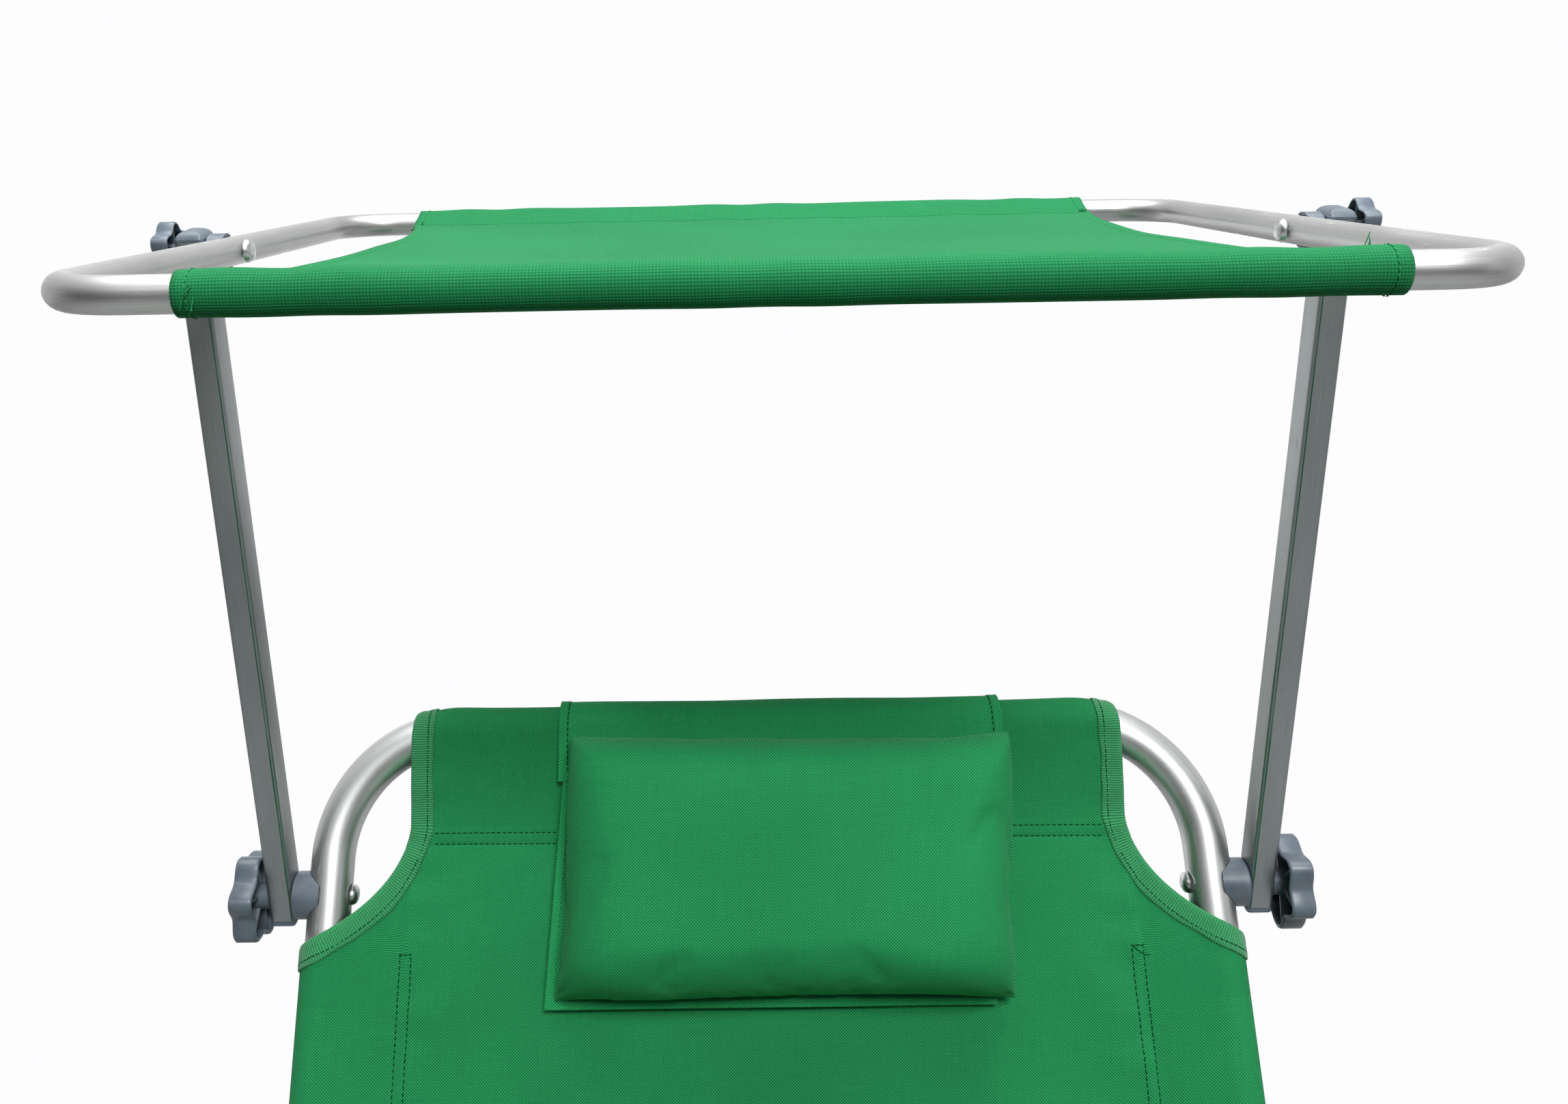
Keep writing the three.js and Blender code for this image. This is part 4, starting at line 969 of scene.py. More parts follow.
def cloth_piece(name, sling, rows, notches, replaced):
    """The grid of one cloth, with the quads of its corners and notches left out."""
    start, length = sling.start, sling.length
    top, low, end = length - SHOULDER_TOP, length - DRAWN_LOW, wrapped_end(length)
    columns = both_ways(filled(COLUMNS, GRID_STEP))
    seam_rows = [length - END_SEAM + step for step in FINE_ROWS]
    lines = filled([start, *rows, low, top, *seam_rows, end], GRID_STEP)
    u, s = np.meshgrid(columns, lines)
    drawn = low + (s - low) * (length - edge_drop(u) - low) / (top - low)
    s = np.where((np.abs(u) > SHOULDER) & (s > low) & (s <= top + 1e-6), drawn, s)
    lift = 1.5 * soft_step(start + 24 - s, 0, 8) if sling is foot_cloth else 0
    grid = surface(sling.point(u, s, lift), False, False, lines, columns)
    across, along = grid[2].mean(1).T
    across = np.abs(across)
    keep = ~((across > SHOULDER) & (along > top))
    for (inner, outer), first, last in notches:
        keep &= ~((across > inner) & (across < outer) & (along > first) & (along < last))
    area = (np.diff(columns)[None] * np.diff(lines)[:, None]).ravel()[keep].sum()
    piece = soft_piece(name, kept(grid, keep), None, green_cloth, replaced, 60, CLOTH)
    return piece, area / 1e6, end - start


RATCHET_HALF = 43
BRACKET_HALF = 25
RATCHET_U = (265.4, 359)
BRACKET_U = (305, 357)


def opening(at):
    """The two rows between which the cloth is open round a leg's bracket."""
    return [at - BRACKET_HALF, at + BRACKET_HALF]


head_rows, foot_rows = opening(HEAD_BRACKET), opening(FOOT_BRACKET)
back_ratchet, foot_ratchet = [-RATCHET_HALF + SEAT_SHIFT, RATCHET_HALF], [-RATCHET_HALF, RATCHET_HALF]
back_notches = [(RATCHET_U, *back_ratchet)]
back_notches += [(BRACKET_U, *rows) for rows in (opening(SEAT_BRACKET + SEAT_SHIFT), head_rows)]
foot_notches = [(RATCHET_U, *foot_ratchet), (BRACKET_U, *foot_rows)]
upper, upper_area, upper_length = cloth_piece("back_and_seat_cloth", back_cloth, back_ratchet + head_rows,
                                              back_notches, ["back_sling", "seat_sling"])
lower, lower_area, lower_length = cloth_piece("seat_and_foot_cloth", foot_cloth, foot_ratchet + foot_rows,
                                              foot_notches, ["foot_sling"])
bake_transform(upper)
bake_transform(lower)
print("cloth areas", round(upper_area, 3), round(lower_area, 3), "m2")

# %% [markdown]
# The two arms are rectangular tubes with rounded edges, plugged below and capped above. They clamp
# between a plastic spacer, which hugs the round tube, and a star knob on a bolt.

# %% Arms with their plugs and caps
ARM_X = 316
ARM_HALF = (8, 10)
ARM_CORNER = 2.5
ARM_WALL = 1.2
ARM_LENGTH = 425
ARM_BELOW = 13
ARM_ABOVE = 7


def rounded_rectangle(half_x, half_z, corner):
    """The outline of a rectangle with round corners, anticlockwise, in (x, z)."""
    quarter = arc((half_x - corner, half_z - corner), corner, 0, math.pi / 2, 7)
    upper = np.vstack([quarter, (quarter * [-1, 1])[::-1]])
    return np.vstack([upper, -upper])


def lofted(rows, loop=False):
    """Rounded rectangles stacked along y. A row is (y, inset), and an inset of None closes to a point."""
    rings = []
    for y, inset in rows:
        shrink = inset or 0
        corner = max(ARM_CORNER - shrink, 0.3)
        ring = rounded_rectangle(ARM_HALF[0] - shrink, ARM_HALF[1] - shrink, corner) * (inset is not None)
        rings.append(np.insert(ring + [ARM_X, 0], 1, float(y), 1))
    travel = np.array([y for y, _ in rows], float)
    return closed(np.stack(rings), loop, travel, travelled(rings[1][:, [0, 2]]))


low, high = -ARM_BELOW, ARM_LENGTH + ARM_ABOVE
outside = [(y, 0) for y in np.linspace(low + 0.4, high - 0.4, 30)]
arm = lofted([(low, 0.4), *outside, (high, 0.4), (high, ARM_WALL), (low, ARM_WALL)], True)
plug_rows = [(6, None), (6, 1.6), (0, 1.6), (0, 0.2), (-0.4, 0), (-3, 0), (-3.8, 0.7)]
plug_rows += [(-4, 1.8), (-4, None)]
plug = lofted([(low + y, inset) for y, inset in plug_rows])
dome = [(high + 6 * math.sin(a), 10 * (1 - math.cos(a)) * 0.75) for a in np.linspace(0.25, 1.45, 8)]
cap_rows = [(high - 3, None), (high - 3, 1.6), (high, 1.6), (high, 0), (high + 1.4, 0)]
cap = lofted([*cap_rows, *dome, (high + 6, None)])
both_sides("canopy_arm", moved(arm, on_arms), "arms", arm_metal, "arm")
both_sides("arm_end_plug", moved(plug, on_arms), "arms", slate, "arm_plug")
both_sides("arm_top_cap", moved(cap, on_arms), "arms", slate, "arm_cap")

# %% [markdown]
# The knobs have six soft lobes: the radius is a constant plus a cosine of six times the angle. They
# are hollow towards the arm, where a round hub and radial ribs stiffen the shell. The upper pair,
# which clamps only the light canopy, is smaller.

# %% Star knobs
KNOB_FACE = 328
KNOB_THICK = 16
KNOB_MIDDLE = 26.5
KNOB_LOBES = 6
KNOB_HUB = 8.5
KNOB_HUB_FACE = 324.3
# From the middle of the back over the lobes to the face, and back inside to the hub's own face.
back_rows = [(-0.8, 0), (-0.8, 7), (-0.2, 8.5), (0, 10), (0, 18, 1.0), (-0.2, 22, 2.2)]
back_rows += [(-0.9, KNOB_MIDDLE - 1.4, 2.9), (-2.4, KNOB_MIDDLE, 3)]
face_rows = [(1.6, 0, 3), (0.5, -0.4, 3), (0, -1.1, 3), (0, -1.9, 3)]
face_rows += [(0.4, -2.4, 2.9), (9, -2.8, 2.8), (13, -4, 2.4)]
inner_rows = [(13, 12), (13, KNOB_HUB + 0.6), (12, KNOB_HUB)]
hub_rows = [(0.6, KNOB_HUB), (0, KNOB_HUB - 0.6), (0, 4.4), (0.3, 4), (0.3, 0)]
knob_rows = [(KNOB_FACE + KNOB_THICK + x, *rest) for x, *rest in back_rows]
knob_rows += [(KNOB_FACE + x, KNOB_MIDDLE + r, lobe) for x, r, lobe in face_rows]
knob_rows += [(KNOB_FACE + x, r) for x, r in inner_rows] + [(KNOB_HUB_FACE + x, r) for x, r in hub_rows]
knob_shell = turned_x(knob_rows, 120, KNOB_LOBES)


def knob_rib(angle):
    """A thin wall from the hub to a lobe, with a slightly lower edge towards the hub."""
    near, far, half = KNOB_HUB - 1, KNOB_MIDDLE - 0.5, 0.9
    outline = np.array([[near, -half], [far, -half], [far, half], [near, half]])
    levels = [(2.5, math.inf), (2.5, 0.25), (2.8, 0), (13.5, 0), (13.5, math.inf)]
    rib = prism(outline, [(KNOB_FACE + x, inset) for x, inset in levels])
    return moved(rib, lambda p: placed(p, angle, (0, 0, 0)))


knob = joined(knob_shell, *(knob_rib(a) for a in np.arange(KNOB_LOBES) * math.tau / KNOB_LOBES))
ARM_KNOB_TURN = {"right": math.radians(12), "left": math.radians(-20)}
CANOPY_KNOB_TURN = {"right": math.radians(30), "left": math.radians(34)}
SMALL_KNOB = np.array([0.62, 0.58, 0.58])
small_knob = moved(knob, lambda p: (p - [KNOB_FACE, 0, 0]) * SMALL_KNOB + [KNOB_FACE - 2.4, 0, 0])
for side in ("right", "left"):
    for joint, one, turns, place in (
        ("arm", knob, ARM_KNOB_TURN, at_arm_joint),
        ("canopy", small_knob, CANOPY_KNOB_TURN, on_canopy),
    ):
        sided = one if side == "right" else moved(one, mirrored)
        star = moved(moved(sided, lambda p: placed(p, turns[side], (0, 0, 0))), place)
        node = f"{joint}_knob_{side}"
        make_piece(f"{joint}_star_{side}", star, node, slate, [node])


# %% [markdown]
# A spacer is a short cylinder whose inner face is hollowed to the tube, so it ends in two pointed
# wings that hug it. The bolt has a low domed head on the inner side of the tube.


# %% Spacers and bolts
def spacer(radius, tube_x, hug, near, far):
    """A cylinder round X whose near face follows a circle of radius hug about the tube at tube_x."""
    reach = [0, *np.linspace(0.15, 1, 14) * radius]
    rows = [(near, r) for r in reach] + [(far - 0.8, radius), (far, radius - 0.8), (far, 0)]
    points, quads, uv = turned_x(rows, 96)
    saddle = tube_x + np.sqrt(np.clip(hug**2 - points[:, 2] ** 2, 0, None))
    points[:, 0] = np.where(points[:, 0] == near, np.maximum(near, saddle), points[:, 0])
    return turned_out((points, quads, uv))


def bolt(face, head=6.5, rise=4.5, shank=3, end=335):
    """A domed head on the inner side of the tube, on a thin washer edge, and its shank."""
    angles = np.linspace(0, math.pi / 2, 9)
    dome = [(face - 0.7 - (rise - 0.7) * math.cos(a), head * math.sin(a)) for a in angles]
    washer = [(face - 0.3, head + 0.25), (face, head)]
    return turned_x([*dome, *washer, (face, shank), (end, shank), (end, 0)], 40)


CANOPY_X = 296
SPACER_NEAR_ARM = 307.7
arm_saddle = moved(spacer(15, SIDE, 14.3, 290, SPACER_NEAR_ARM), at_arm_joint)
canopy_saddle = moved(spacer(10, CANOPY_X, 8.3, 298, SPACER_NEAR_ARM), on_canopy)
both_sides("arm_saddle", arm_saddle, "back", slate, "arm_spacer")
both_sides("canopy_saddle", canopy_saddle, "canopy", slate, "canopy_spacer")
both_sides("arm_joint_bolt", moved(bolt(271.7), at_arm_joint), "back", zinc, "arm_bolt")
both_sides("canopy_joint_bolt", moved(bolt(287.7), on_canopy), "canopy", zinc, "canopy_bolt")

# %% [markdown]
# The canopy frame is one closed loop of thinner tube with its splices on the two sides. The cloth
# has a sleeve at each end and sags a little between them; its sides are hemmed in a hollow curve.

# %% Canopy frame
CANOPY_TUBE = 8
CANOPY_FAR = 229
CANOPY_NEAR = -221
CANOPY_BEND = 38
SPLICE_Y = CANOPY_FAR - 150
far_half = u_path(CANOPY_X, 4, CANOPY_FAR, CANOPY_BEND, 20)
near_half = u_path(CANOPY_X, 4, -CANOPY_NEAR, CANOPY_BEND, 20) * [-1, -1]
loop_path = resampled(np.concatenate([far_half, near_half]), 420)
# A narrow ring is sunk into the tube at the splice on each side.
at_side = np.abs(np.abs(loop_path[:, 0]) - CANOPY_X) < 1
at_splice = at_side & (np.abs(loop_path[:, 1] - SPLICE_Y) < 3)
splice = 0.45 * at_splice * bump_at(loop_path[:, 1], SPLICE_Y, 2.2)
canopy_loop = moved(tube(loop_path, CANOPY_TUBE, None, 24, True, splice), on_canopy)
make_piece("canopy_loop", canopy_loop, "canopy", canopy_metal, ["canopy_frame"])

# %% Canopy cloth
CANOPY_SEAM = 27
CANOPY_WRAP = 9.2
CANOPY_HEM = 9
CANOPY_SPAN = CANOPY_FAR - CANOPY_NEAR
CANOPY_END_HALF = 238.5
CANOPY_WAIST_HALF = 214
CANOPY_SKEW = (2.9, -2.3)
CANOPY_SAG = 8
SEAM_T = CANOPY_SPAN / 2 - CANOPY_SEAM
canopy_run = math.sqrt(CANOPY_SEAM**2 - CANOPY_WRAP**2)
canopy_round = CANOPY_WRAP * (math.pi + 2 * math.asin(CANOPY_WRAP / CANOPY_SEAM))
CANOPY_HALF_PATH = SEAM_T + 2 * canopy_run + canopy_round + CANOPY_HEM


def canopy_point(share, t, h=0.0):
    """Share runs from -1 to 1 across the cloth, and t along it, from 0 at its middle."""
    share, t = np.broadcast_arrays(np.asarray(share, float), np.asarray(t, float))
    away = np.abs(t)
    place, height, turn = wrap(away, SEAM_T, CANOPY_SPAN / 2, CANOPY_WRAP)
    web = np.clip(place / SEAM_T, 0, 1)
    waist = np.where(away < SEAM_T, web**2, 1)
    x = share * (CANOPY_WAIST_HALF + (CANOPY_END_HALF - CANOPY_WAIST_HALF) * waist)
    x = x + waist * np.where(t < 0, *CANOPY_SKEW)
    sag = -CANOPY_SAG * (1 - web**2) * (0.08 + 0.92 * (1 - share**2)) * (away < SEAM_T)
    crease = 0.5 * bump_at(away, SEAM_T - 9, 9) * np.sin(x / 7.1 + 1.5 * np.sin(x / 51))
    crease += 0.35 * bump_at(away, CANOPY_SPAN / 2, 30) * np.sin(x / 13 + 2 * np.sin(x / 31) + t / 19)
    drape = 0.8 * (1 - web**2) * np.sin(x / 47 + t / 71 + 0.6 * np.sin(t / 33))
    edge_curl = 0.8 * soft_step(np.abs(share), 0.975, 1) * (web < 1)
    off = h + crease + drape + edge_curl
    y = np.sign(t) * (place + off * np.cos(turn)) + (CANOPY_FAR + CANOPY_NEAR) / 2
    return on_canopy(np.stack([x, y, height + off * np.sin(turn) + sag], -1))


share = both_ways(filled([0, 0.9, 0.96, 0.985, 1], 0.018))
key_lines = [0, SEAM_T, SEAM_T + canopy_run, SEAM_T + canopy_run + canopy_round]
key_lines += [CANOPY_HALF_PATH - CANOPY_HEM, CANOPY_HALF_PATH]
lines = both_ways(filled(key_lines, 3))
canopy_grid = surface(canopy_point(share[None], lines[:, None]), False, False, lines, share * 235)
canopy_cover = soft_piece("canopy_cover", canopy_grid, "canopy", shaded_canopy_green, ["canopy_cloth"], 60, 1.1)


# %% [markdown]
# The cut-out shoulders are bound with ribbed webbing. The tape is folded over the raw edge, so its
# section is a narrow hairpin, which is carried along the edge: over the end tube, round the curve,
# and on to the underside of the sleeve.

# %% Edge binding
TAPE_STEP = 2.5
TAPE_SEAM = 9.6
TAPE_SECTION = np.array([
    (13, 0.75), (12.7, 1.25), (11.5, 1.4), (9, 1.35), (6, 1.45), (3, 1.5), (1, 1.45),
    (-0.5, 1.1), (-1.1, 0.2), (-0.6, -0.6), (1, -0.95), (4, -0.95), (8, -0.95), (12, -0.9),
])


def inward_side(u, s):
    """Unit vectors in the plane of the cloth, square to a path that keeps the cloth on its right."""
    du, ds = np.gradient(u), np.gradient(s)
    size = np.hypot(du, ds)
    return ds / size, -du / size


def binding_path(length):
    """The edge of a shoulder in (u, s), from the end hem over the tube and round to the underside."""
    curve = shoulder_curve(np.linspace(0, 1, 60)) * [1, -1] + [0, length]
    down = np.linspace([SHOULDER, wrapped_end(length) - 1], curve[0], 60)[:-1]
    under = curve[::-1][1:] * [-1, 1] + [2 * MID_SIDE, 0]
    path = np.concatenate([down, curve, under])
    distance = travelled(path)
    wanted = np.arange(0, distance[-1], TAPE_STEP)
    return *(np.interp(wanted, distance, axis) for axis in path.T), wanted


def tape(sling, side):
    """The hairpin section along the edge, a little wavy as hand-guided tape is."""
    u, s, distance = binding_path(sling.length)
    in_u, in_s = inward_side(u, s)
    reach, rise = TAPE_SECTION.T
    wave = 1 + 0.035 * np.sin(distance / 9) + 0.02 * np.sin(distance / 3.7 + side)
    inset = reach * np.where(reach > 5, wave[:, None], 1)
    height = rise + 0.12 * np.sin(distance / 5.3)[:, None] * (rise > 1.2)
    across, along = u[:, None] + in_u[:, None] * inset, s[:, None] + in_s[:, None] * inset
    points = sling.point(side * across, along, height)
    return surface(points, False, False, distance, reach + 20 * (rise < 0))


bound = ("head", back_cloth, "back", upper), ("foot", foot_cloth, "foot", lower)
for name, sling, body, cloth in bound:
    for word, side in (("right", 1), ("left", -1)):
        strip = soft_piece(f"{name}_binding_{word}", tape(sling, side), body, webbing, thickness=0.5)


# %% [markdown]
# Every seam is sewn with dark green thread. One stitch is a small grain, and a seam is that grain
# copied to even places along the seam's line, laid along it and sunk half into the cloth.

# %% Stitches
GRAIN_ALONG = np.array([-1, -0.8, 0, 0.8, 1])[:, None]
GRAIN_THICK = np.array([0.15, 0.75, 1, 0.75, 0.15])[:, None]
GRAIN_TURN = np.arange(5) * math.tau / 5
GRAIN_HEIGHT = 0.75


def stitches(place, a, b, spacing=3.7, length=1.4, thick=0.42, seed=1):
    """Grains along the line (a, b). The place is a function that gives the point at (a, b, h)."""
    chance = np.random.default_rng(seed)
    line = place(a, b, GRAIN_HEIGHT)
    distance = travelled(line)
    wanted = np.arange(spacing / 2, distance[-1], spacing)
    spot = np.interp(wanted, distance, a), np.interp(wanted, distance, b)
    centre = place(*spot, GRAIN_HEIGHT)
    up = unit(place(*spot, GRAIN_HEIGHT + 1) - centre)
    ends = [np.stack([np.interp(wanted + step, distance, k) for k in line.T], -1) for step in (0.5, -0.5)]
    ahead = unit(ends[0] - ends[1])
    side = np.cross(ahead, up)
    ahead = ahead + side * chance.normal(0, 0.07, (len(wanted), 1))
    ring = thick * GRAIN_THICK
    sizes = GRAIN_ALONG * length, ring * np.cos(GRAIN_TURN), ring * np.sin(GRAIN_TURN)
    grain = sum(k[None, ..., None] * way[:, None, None] for k, way in zip(sizes, (ahead, side, up)))
    points = (centre[:, None, None] + grain).reshape(-1, 3)
    quads, _ = grid_quads(5, 5, False, True)
    every = (quads[None] + 25 * np.arange(len(wanted))[:, None, None]).reshape(-1, 4)
    return points, every, np.zeros((len(every), 4, 2))


def seam(place, a, b, count, **kind):
    """Stitches along a straight line. Each of a and b is a number, or a pair that it runs between."""
    ends = [k if isinstance(k, tuple) else (k, k) for k in (a, b)]
    return stitches(place, *(np.linspace(*pair, count) for pair in ends), **kind)


def raised(place, lift):
    """The same place, a little further off the cloth."""
    return lambda a, b, h: place(a, b, h + lift)


def cloth_seams(sling):
    """The seams of one cloth: two along each side, two across its end, and one on each binding."""
    first, top = sling.start + 20, sling.length - SHOULDER_LOW - 3
    on_tape = raised(sling.point, 0.75)
    sewn = []
    for side in (1, -1):
        for k, line in enumerate(SIDE_SEAMS):
            sewn.append(seam(sling.point, side * line, (first, top), 400, seed=3 + k + side))
        sewn.append(seam(sling.point, (side * 230, side * 239), top, 40, spacing=3, seed=9))
        u, s, _ = binding_path(sling.length)
        in_u, in_s = inward_side(u, s)
        sewn.append(stitches(on_tape, side * (u + TAPE_SEAM * in_u), s + TAPE_SEAM * in_s, 3.2, seed=7))
    u = np.linspace(-SHOULDER + 14, SHOULDER - 14, 400)
    for inset in END_SEAMS:
        line = sling.length - END_SEAM + inset + 0.6 * np.sin(u / 60)
        sewn.append(stitches(sling.point, u, line, seed=11))
    return joined(*sewn)


upper_seams = soft_piece("back_and_seat_seams", cloth_seams(back_cloth), None, thread)
lower_seams = soft_piece("seat_and_foot_seams", cloth_seams(foot_cloth), None, thread)
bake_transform(upper_seams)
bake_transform(lower_seams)
on_lap = raised(foot_cloth.point, 1.5)
lap = [seam(on_lap, (-300, 300), foot_cloth.start + inset, 500, seed=5) for inset in (3.0, 13.0)]
soft_piece("lap_seam", joined(*lap), "seat", thread)

# %% [markdown]
# The pillow hangs from a flap that lies over the top tube and down behind it. Behind the pillow the
# flap ends in a flat hemmed backing, a little wider at its foot.

# %% Pillow flap and backing
FLAP_RADIUS = 17.1
FLAP_FRONT = 175
FLAP_REAR = 116
FLAP_LIFT = 3.4
FLAP_HEM = 5
FLAP_CLOTH = 1.1


def lean_of(reach):
    """The angle at which cloth leaves the tube to meet the back's cloth at a distance down it."""
    return math.asin(FLAP_RADIUS / math.hypot(reach, FLAP_LIFT)) - math.atan2(FLAP_LIFT, reach)


front_lean, rear_lean = lean_of(FLAP_FRONT), lean_of(FLAP_REAR)
front_round, rear_round = (FLAP_RADIUS * (math.pi / 2 + lean) for lean in (front_lean, rear_lean))


def over_top_tube(x, d, h=0.0):
    """A point at a distance d along the flap: 0 on top of the tube, positive down the front."""
    x, d = np.broadcast_arrays(np.asarray(x, float), np.asarray(d, float))
    reach = FLAP_RADIUS + h
    angle = np.clip(d / FLAP_RADIUS, -math.pi / 2 - rear_lean, math.pi / 2 + front_lean)
    down = np.clip(d - front_round, 0, None)
    behind = np.clip(-d - rear_round, 0, None)
    y = reach * np.cos(angle) - down * math.cos(front_lean) - behind * math.cos(rear_lean)
    z = reach * np.sin(angle) - down * math.sin(front_lean) + behind * math.sin(rear_lean)
    return on_back(np.stack([x, y + BACK_LENGTH, z], -1))


def flap_point(x, d, h=0.0):
    """The flap with soft wrinkles: slow waves all over, and shorter ones where it leaves the tube."""
    x, d = np.broadcast_arrays(np.asarray(x, float), np.asarray(d, float))
    wave = 0.3 * (np.sin(x / 23 + d / 31) + 0.6 * np.sin(x / 9.7 + 1.3) * bump_at(d, 22, 16))
    return over_top_tube(x, d, h + wave)


def flap_sheet(left, right, first, last, lean=0.0):
    """A piece of the flap. Its sides are turned in twice, so each hem is thicker and has two edges.

    The lean moves its left side outwards, more and more towards the far end.
    """
    edge = np.array([0, 0.8, 1.6, 2.4, 3.2, 4, FLAP_HEM - 0.4, FLAP_HEM + 0.4])
    x = filled([*(left + edge), *(right - edge)], 4)
    d = filled([*(first + edge), *(last - edge)], 3)
    grid_x, grid_d = np.meshgrid(x, d)
    share = (grid_d - first) / (last - first)
    inward = np.stack([np.minimum(grid_x - left, right - grid_x), last - grid_d])
    fold = 0.7 * (1 - soft_step(inward, FLAP_HEM - 0.5, FLAP_HEM + 0.5))
    fold -= 0.35 * bump_at(inward, 2.4, 0.7)
    shifted = grid_x - lean * share * (right - grid_x) / (right - left)
    return surface(flap_point(shifted, grid_d, fold.max(0)), False, False, d, x)


FLAP_LEFT = -137
FLAP_RIGHT = 157
FLAP_END = 62
BACKING_LEFT = -133
BACKING_LEAN = 11
BACKING_RIGHT = 142
BACKING_START = 52
front_end = front_round + (FLAP_FRONT - 2) * math.cos(front_lean)
rear_end = rear_round + (FLAP_REAR - 6) * math.cos(rear_lean)
flap_parts = flap_sheet(FLAP_LEFT, FLAP_RIGHT, -rear_end, FLAP_END)
backing_parts = flap_sheet(BACKING_LEFT, BACKING_RIGHT, BACKING_START, front_end, BACKING_LEAN)
flap = soft_piece("pillow_hanger", flap_parts, "back", lit_pillow_green, ["pillow_flap"], 60, FLAP_CLOTH)
backing = soft_piece("pillow_backing", backing_parts, "back", lit_pillow_green, (), 60, FLAP_CLOTH)

flap_run, foot_line = (-rear_end + FLAP_HEM, FLAP_END - 2), front_end - FLAP_HEM
flap_sides = (FLAP_LEFT + FLAP_HEM + 1, FLAP_RIGHT - FLAP_HEM - 1)
flap_sewn = [seam(flap_point, x, flap_run, 300, seed=21) for x in flap_sides]
down = np.linspace(BACKING_START + 2, foot_line, 200)
leaning = BACKING_LEFT + FLAP_HEM - BACKING_LEAN * (down - BACKING_START) / (front_end - BACKING_START)
flap_sewn.append(stitches(flap_point, leaning, down, seed=22))
backing_run = (BACKING_START + 2, foot_line)
flap_sewn.append(seam(flap_point, BACKING_RIGHT - FLAP_HEM, backing_run, 200, seed=23))
across = (BACKING_LEFT - BACKING_LEAN + FLAP_HEM, BACKING_RIGHT - FLAP_HEM)
flap_sewn.append(seam(flap_point, across, foot_line + 0.6, 200, seed=24))
soft_piece("pillow_flap_seams", joined(*flap_sewn), "back", thread)

# %% [markdown]
# The pillow is two panels of cloth sewn round their edges and stuffed. A panel's height is a product
# of two curves that are flat in the middle and fall to the seam. The lower one falls more slowly,
# since the stuffing sinks, so the cloth turns under there. The corners are pulled to points, and the
# lower left one is gathered.

# %% Pillow
PILLOW_HALF = (143, 80)
PILLOW_TOP = 6
PILLOW_DEEP = 58
PILLOW_BACK = 5
PILLOW_STEP = 4.5
PILLOW_AT = (12, -PILLOW_TOP - PILLOW_HALF[1], FLAP_RADIUS + 1.9)
PILLOW_SHEAR = (0.037, -0.012)


def on_pillow(points):
    """Pillow: x across from its middle, y up from its middle, z off the flap that it hangs on."""
    points = np.asarray(points, float)
    sheared_x = points[..., 0] + PILLOW_SHEAR[0] * points[..., 1]
    sheared_y = points[..., 1] + PILLOW_SHEAR[1] * points[..., 0]
    hung = np.stack([sheared_x, sheared_y, points[..., 2]], -1)
    return on_back(placed(hung + PILLOW_AT, front_lean, (0, BACK_LENGTH, 0)))


def pillow_rise(t, q):
    """From 0 at the seam to 1 in the middle: (1 - |t|^8)^0.42 across times a curve along q."""
    top = (1 - np.clip(q, 0, 1) ** 8) ** 0.42
    bottom = (1 - np.clip(-q, 0, 1) ** 6) ** 0.9
    return (1 - np.abs(t) ** 8) ** 0.42 * top * bottom


def even_shares(half, rise, step):
    """Values from -1 to 1 at even distances along the curve (half * value, depth * rise(value))."""
    fine = np.sin(np.linspace(-1, 1, 4001) * math.pi / 2)
    travel = np.hypot(np.diff(half * fine), np.diff(PILLOW_DEEP * rise(fine)))
    distance = np.concatenate([[0], np.cumsum(travel)])
    return np.interp(np.linspace(0, distance[-1], round(distance[-1] / step)), distance, fine)


ACROSS = even_shares(PILLOW_HALF[0], lambda t: pillow_rise(t, 0), PILLOW_STEP)
UP = even_shares(PILLOW_HALF[1], lambda q: pillow_rise(0, q), PILLOW_STEP)


def pillow_panel(front):
    """Depth times the rise, with slack waves, gathered corners and slightly hollow sides."""
    t, q = np.meshgrid(ACROSS, UP)
    rise = pillow_rise(t, q)
    near_corner = soft_step(np.abs(t), 0.72, 1) * soft_step(np.abs(q), 0.6, 1)
    lower_left = soft_step(-t, 0.8, 1) * soft_step(-q, 0.7, 1)
    upper_right = soft_step(t, 0.7, 1) * soft_step(q, 0.5, 1)
    x = PILLOW_HALF[0] * t * (1 - 0.012 * (1 - q**2)) - 2.0 * lower_left + 1.0 * upper_right
    y = PILLOW_HALF[1] * q * (1 - 0.015 * (1 - t**2)) - 1.5 * lower_left + 2.5 * upper_right
    y = y + 1.6 * np.sin(2.6 * t + 0.4) * soft_step(-q, 0.3, 1) * (1 - near_corner)
    around_corner = np.arctan2(1.02 - np.abs(q), 1.02 - np.abs(t))
    gathers = near_corner * np.sqrt(rise) * (1.5 + 2 * lower_left) * np.sin(11 * around_corner + 2 * t)
    slack = 1.1 * rise * (np.sin(x / 31 + y / 37) + 0.6 * np.sin(x / 17 - y / 23 + 0.8))
    pull = 0.9 * rise * bump_at(q, -0.72, 0.12) * np.sin(x / 13 + 1.6 * np.sin(x / 47))
    pull = pull + 0.7 * rise * bump_at(np.abs(t), 0.93, 0.05) * np.sin(y / 9 + t)
    if front:
        z = PILLOW_BACK + PILLOW_DEEP * rise + gathers + slack + pull
    else:
        z = PILLOW_BACK - (PILLOW_BACK - 0.8) * np.sqrt(rise)
    return surface(np.stack([x, y, z], -1), False, False, PILLOW_HALF[1] * q[:, 0], PILLOW_HALF[0] * t[0])


front, (rear, rear_quads, rear_uv) = pillow_panel(True), pillow_panel(False)
pillow_form = moved(joined(front, (rear, rear_quads[:, ::-1], rear_uv[:, ::-1])), on_pillow)
pillow = make_piece("pillow_cushion", pillow_form, "back", lit_pillow_green, ["pillow"], 80)
print("pillow points", len(pillow.data.vertices))

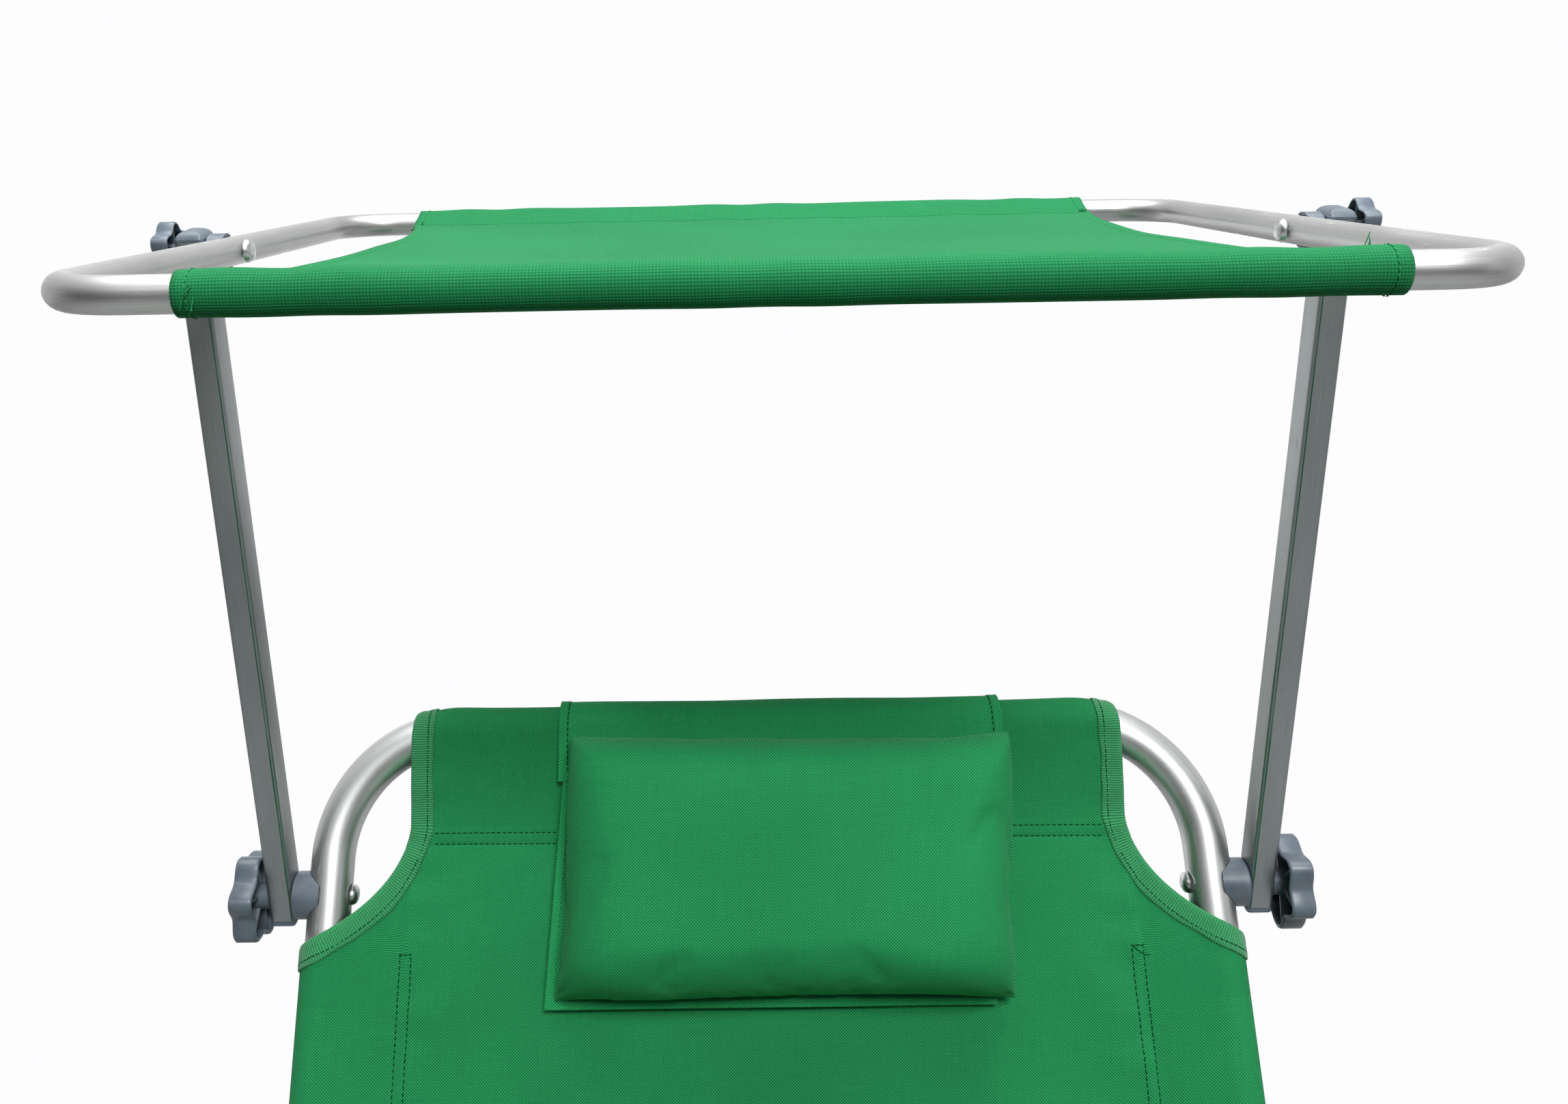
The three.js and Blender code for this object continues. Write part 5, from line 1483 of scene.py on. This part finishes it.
# %% [markdown]
# Cloth round a stuffing bulges where it is free and wrinkles where it is held. A short cloth
# simulation finds those wrinkles: the cover is cut a little too large, the stuffing presses from
# inside, and the rear panel and the seam stay where they are. No point may move far.

# %% Stuffing the pillow by simulation
STUFFING_PRESSURE = 6
COVER_TOO_LARGE = 0.004
LARGEST_MOVE = 2.5
SIMULATED_FRAMES = 20
HELD_BELOW = 6


def mesh_points(mesh):
    """The points of a mesh as an array in metres."""
    points = np.empty(len(mesh.vertices) * 3, np.float32)
    mesh.vertices.foreach_get("co", points)
    return points.reshape(-1, 3)


def stuffed(piece, height):
    """Where the points are after a cloth simulation with pressure, those under a height held still."""
    trial = bpy.data.objects.new("trial", piece.data.copy())
    bpy.context.scene.collection.objects.link(trial)
    held = trial.vertex_groups.new(name="held")
    held.add(np.flatnonzero(height < HELD_BELOW).tolist(), 1, "REPLACE")
    cloth = trial.modifiers.new("stuffing", "CLOTH")
    cloth.point_cache.frame_start = 1
    cloth.point_cache.frame_end = SIMULATED_FRAMES
    settings = cloth.settings
    settings.quality = 6
    settings.vertex_group_mass = "held"
    settings.use_pressure = True
    settings.uniform_pressure_force = STUFFING_PRESSURE
    settings.shrink_min = -COVER_TOO_LARGE
    settings.effector_weights.gravity = 0
    for frame_number in range(1, SIMULATED_FRAMES + 1):
        bpy.context.scene.frame_set(frame_number)
    finished = trial.evaluated_get(bpy.context.evaluated_depsgraph_get())
    points = mesh_points(finished.to_mesh())
    finished.to_mesh_clear()
    old = trial.data
    bpy.data.objects.remove(trial)
    bpy.data.meshes.remove(old)
    bpy.context.scene.frame_set(1)
    return points


before = mesh_points(pillow.data)
off_back = on_back([0, 0, 1.0]) - on_back([0, 0, 0.0])
height = before @ off_back / MM
move = stuffed(pillow, height - height.min()) - before
size = np.maximum(np.linalg.norm(move, axis=1, keepdims=True), 1e-9)
move *= np.minimum(1, LARGEST_MOVE * MM / size)
pillow.data.vertices.foreach_set("co", (before + move).ravel())
pillow.data.update()
print("the cover moved by up to", (size.max() / MM).round(2), "mm, kept to", LARGEST_MOVE)
smooth = pillow.modifiers.new("smooth", "SUBSURF")
smooth.levels = smooth.render_levels = 1

# %% [markdown]
# The canopy's cloth is sewn along the inner edge of each sleeve, at each sleeve's ends, and along the
# hems of its hollow sides. Where a seam ends, the thread was cut by hand and a few ends stick out.

# %% Canopy seams
END_SHARE = 1 - 6 / CANOPY_END_HALF
SIDE_SHARE = 1 - 4.5 / CANOPY_WAIST_HALF
END_THREAD = {"spacing": 3.0, "length": 1.1, "thick": 0.3}
LONG_THREAD = {"spacing": 3.2, "length": 1.2, "thick": 0.34}
hem_t = SEAM_T + 2 * canopy_run + canopy_round - 2
across, sewn = (-END_SHARE, END_SHARE), []
for way in (1, -1):
    sewn.append(seam(canopy_point, across, way * (SEAM_T - 1.5), 500, seed=31, **LONG_THREAD))
    for side in (1, -1):
        over = (way * SEAM_T, way * hem_t)
        sewn.append(seam(canopy_point, side * END_SHARE, over, 300, seed=33, **END_THREAD))
for side in (1, -1):
    sewn.append(seam(canopy_point, side * SIDE_SHARE, (-SEAM_T, SEAM_T), 500, seed=35, **LONG_THREAD))
# The canopy's stitches take the lighter green of the bed's cloth instead of the dark thread: a painted
# highlight along the lit seams.
soft_piece("canopy_seams", joined(*sewn), "canopy", green_cloth)


# %% Loose thread ends
def strand(points, radius=0.22):
    """A thin tube of five sides along a path in space, closed to a point at both ends."""
    ahead = unit(np.gradient(points, axis=0))
    side = unit(np.cross(ahead, [0.31, 0.52, 0.79]))
    up = np.cross(side, ahead)
    thick = radius * np.minimum(1, 8 * np.sin(np.linspace(0, math.pi, len(points))))
    turn = GRAIN_TURN[None, :, None]
    ring = side[:, None] * np.cos(turn) + up[:, None] * np.sin(turn)
    return closed(points[:, None] + thick[:, None, None] * ring)


def tuft(root, toward, count, length, seed):
    """Thread ends from one root: each leaves towards a direction and curls by two slow sine waves."""
    chance = np.random.default_rng(seed)
    toward = unit(np.array(toward, float))
    travel = np.linspace(0, 1, 15)[:, None]
    ends = []
    for _ in range(count):
        way = toward + chance.normal(0, 0.45, 3)
        curl = chance.normal(0, 1, (2, 3))
        reach = length * chance.uniform(0.6, 1.1)
        path = root + reach * travel * way
        path = path + 0.22 * reach * (np.sin(3 * travel) - 3 * travel * 0.3) * curl[0]
        ends.append(strand(path + 0.1 * reach * np.sin(7 * travel) * travel * curl[1]))
    return joined(*ends)


loose = [
    tuft(canopy_point(-0.965, -(SEAM_T + canopy_run + 14), 0.6), (0.1, -0.5, -0.9), 4, 9, 41),
    tuft(canopy_point(0.972, -(SEAM_T + 6), 0.6), (0.3, -0.3, 0.9), 5, 8, 42),
    tuft(canopy_point(0.975, SEAM_T + 4, 0.6), (0.4, -0.9, 0.3), 4, 9, 43),
    tuft(canopy_point(-0.975, SEAM_T + 2, 0.6), (-0.5, -0.8, 0.2), 3, 7, 44),
]
soft_piece("canopy_loose_threads", joined(*loose), "canopy", green_cloth)
hanging = [
    tuft(back_cloth.point(-231, BACK_LENGTH - 200, 1.0), (0.1, 0.0, -0.6), 3, 11, 51),
    tuft(back_cloth.point(231, BACK_LENGTH - 140, 1.0), (0.5, -0.2, -0.5), 3, 8, 52),
]
soft_piece("seam_loose_threads", joined(*hanging), "back", thread)
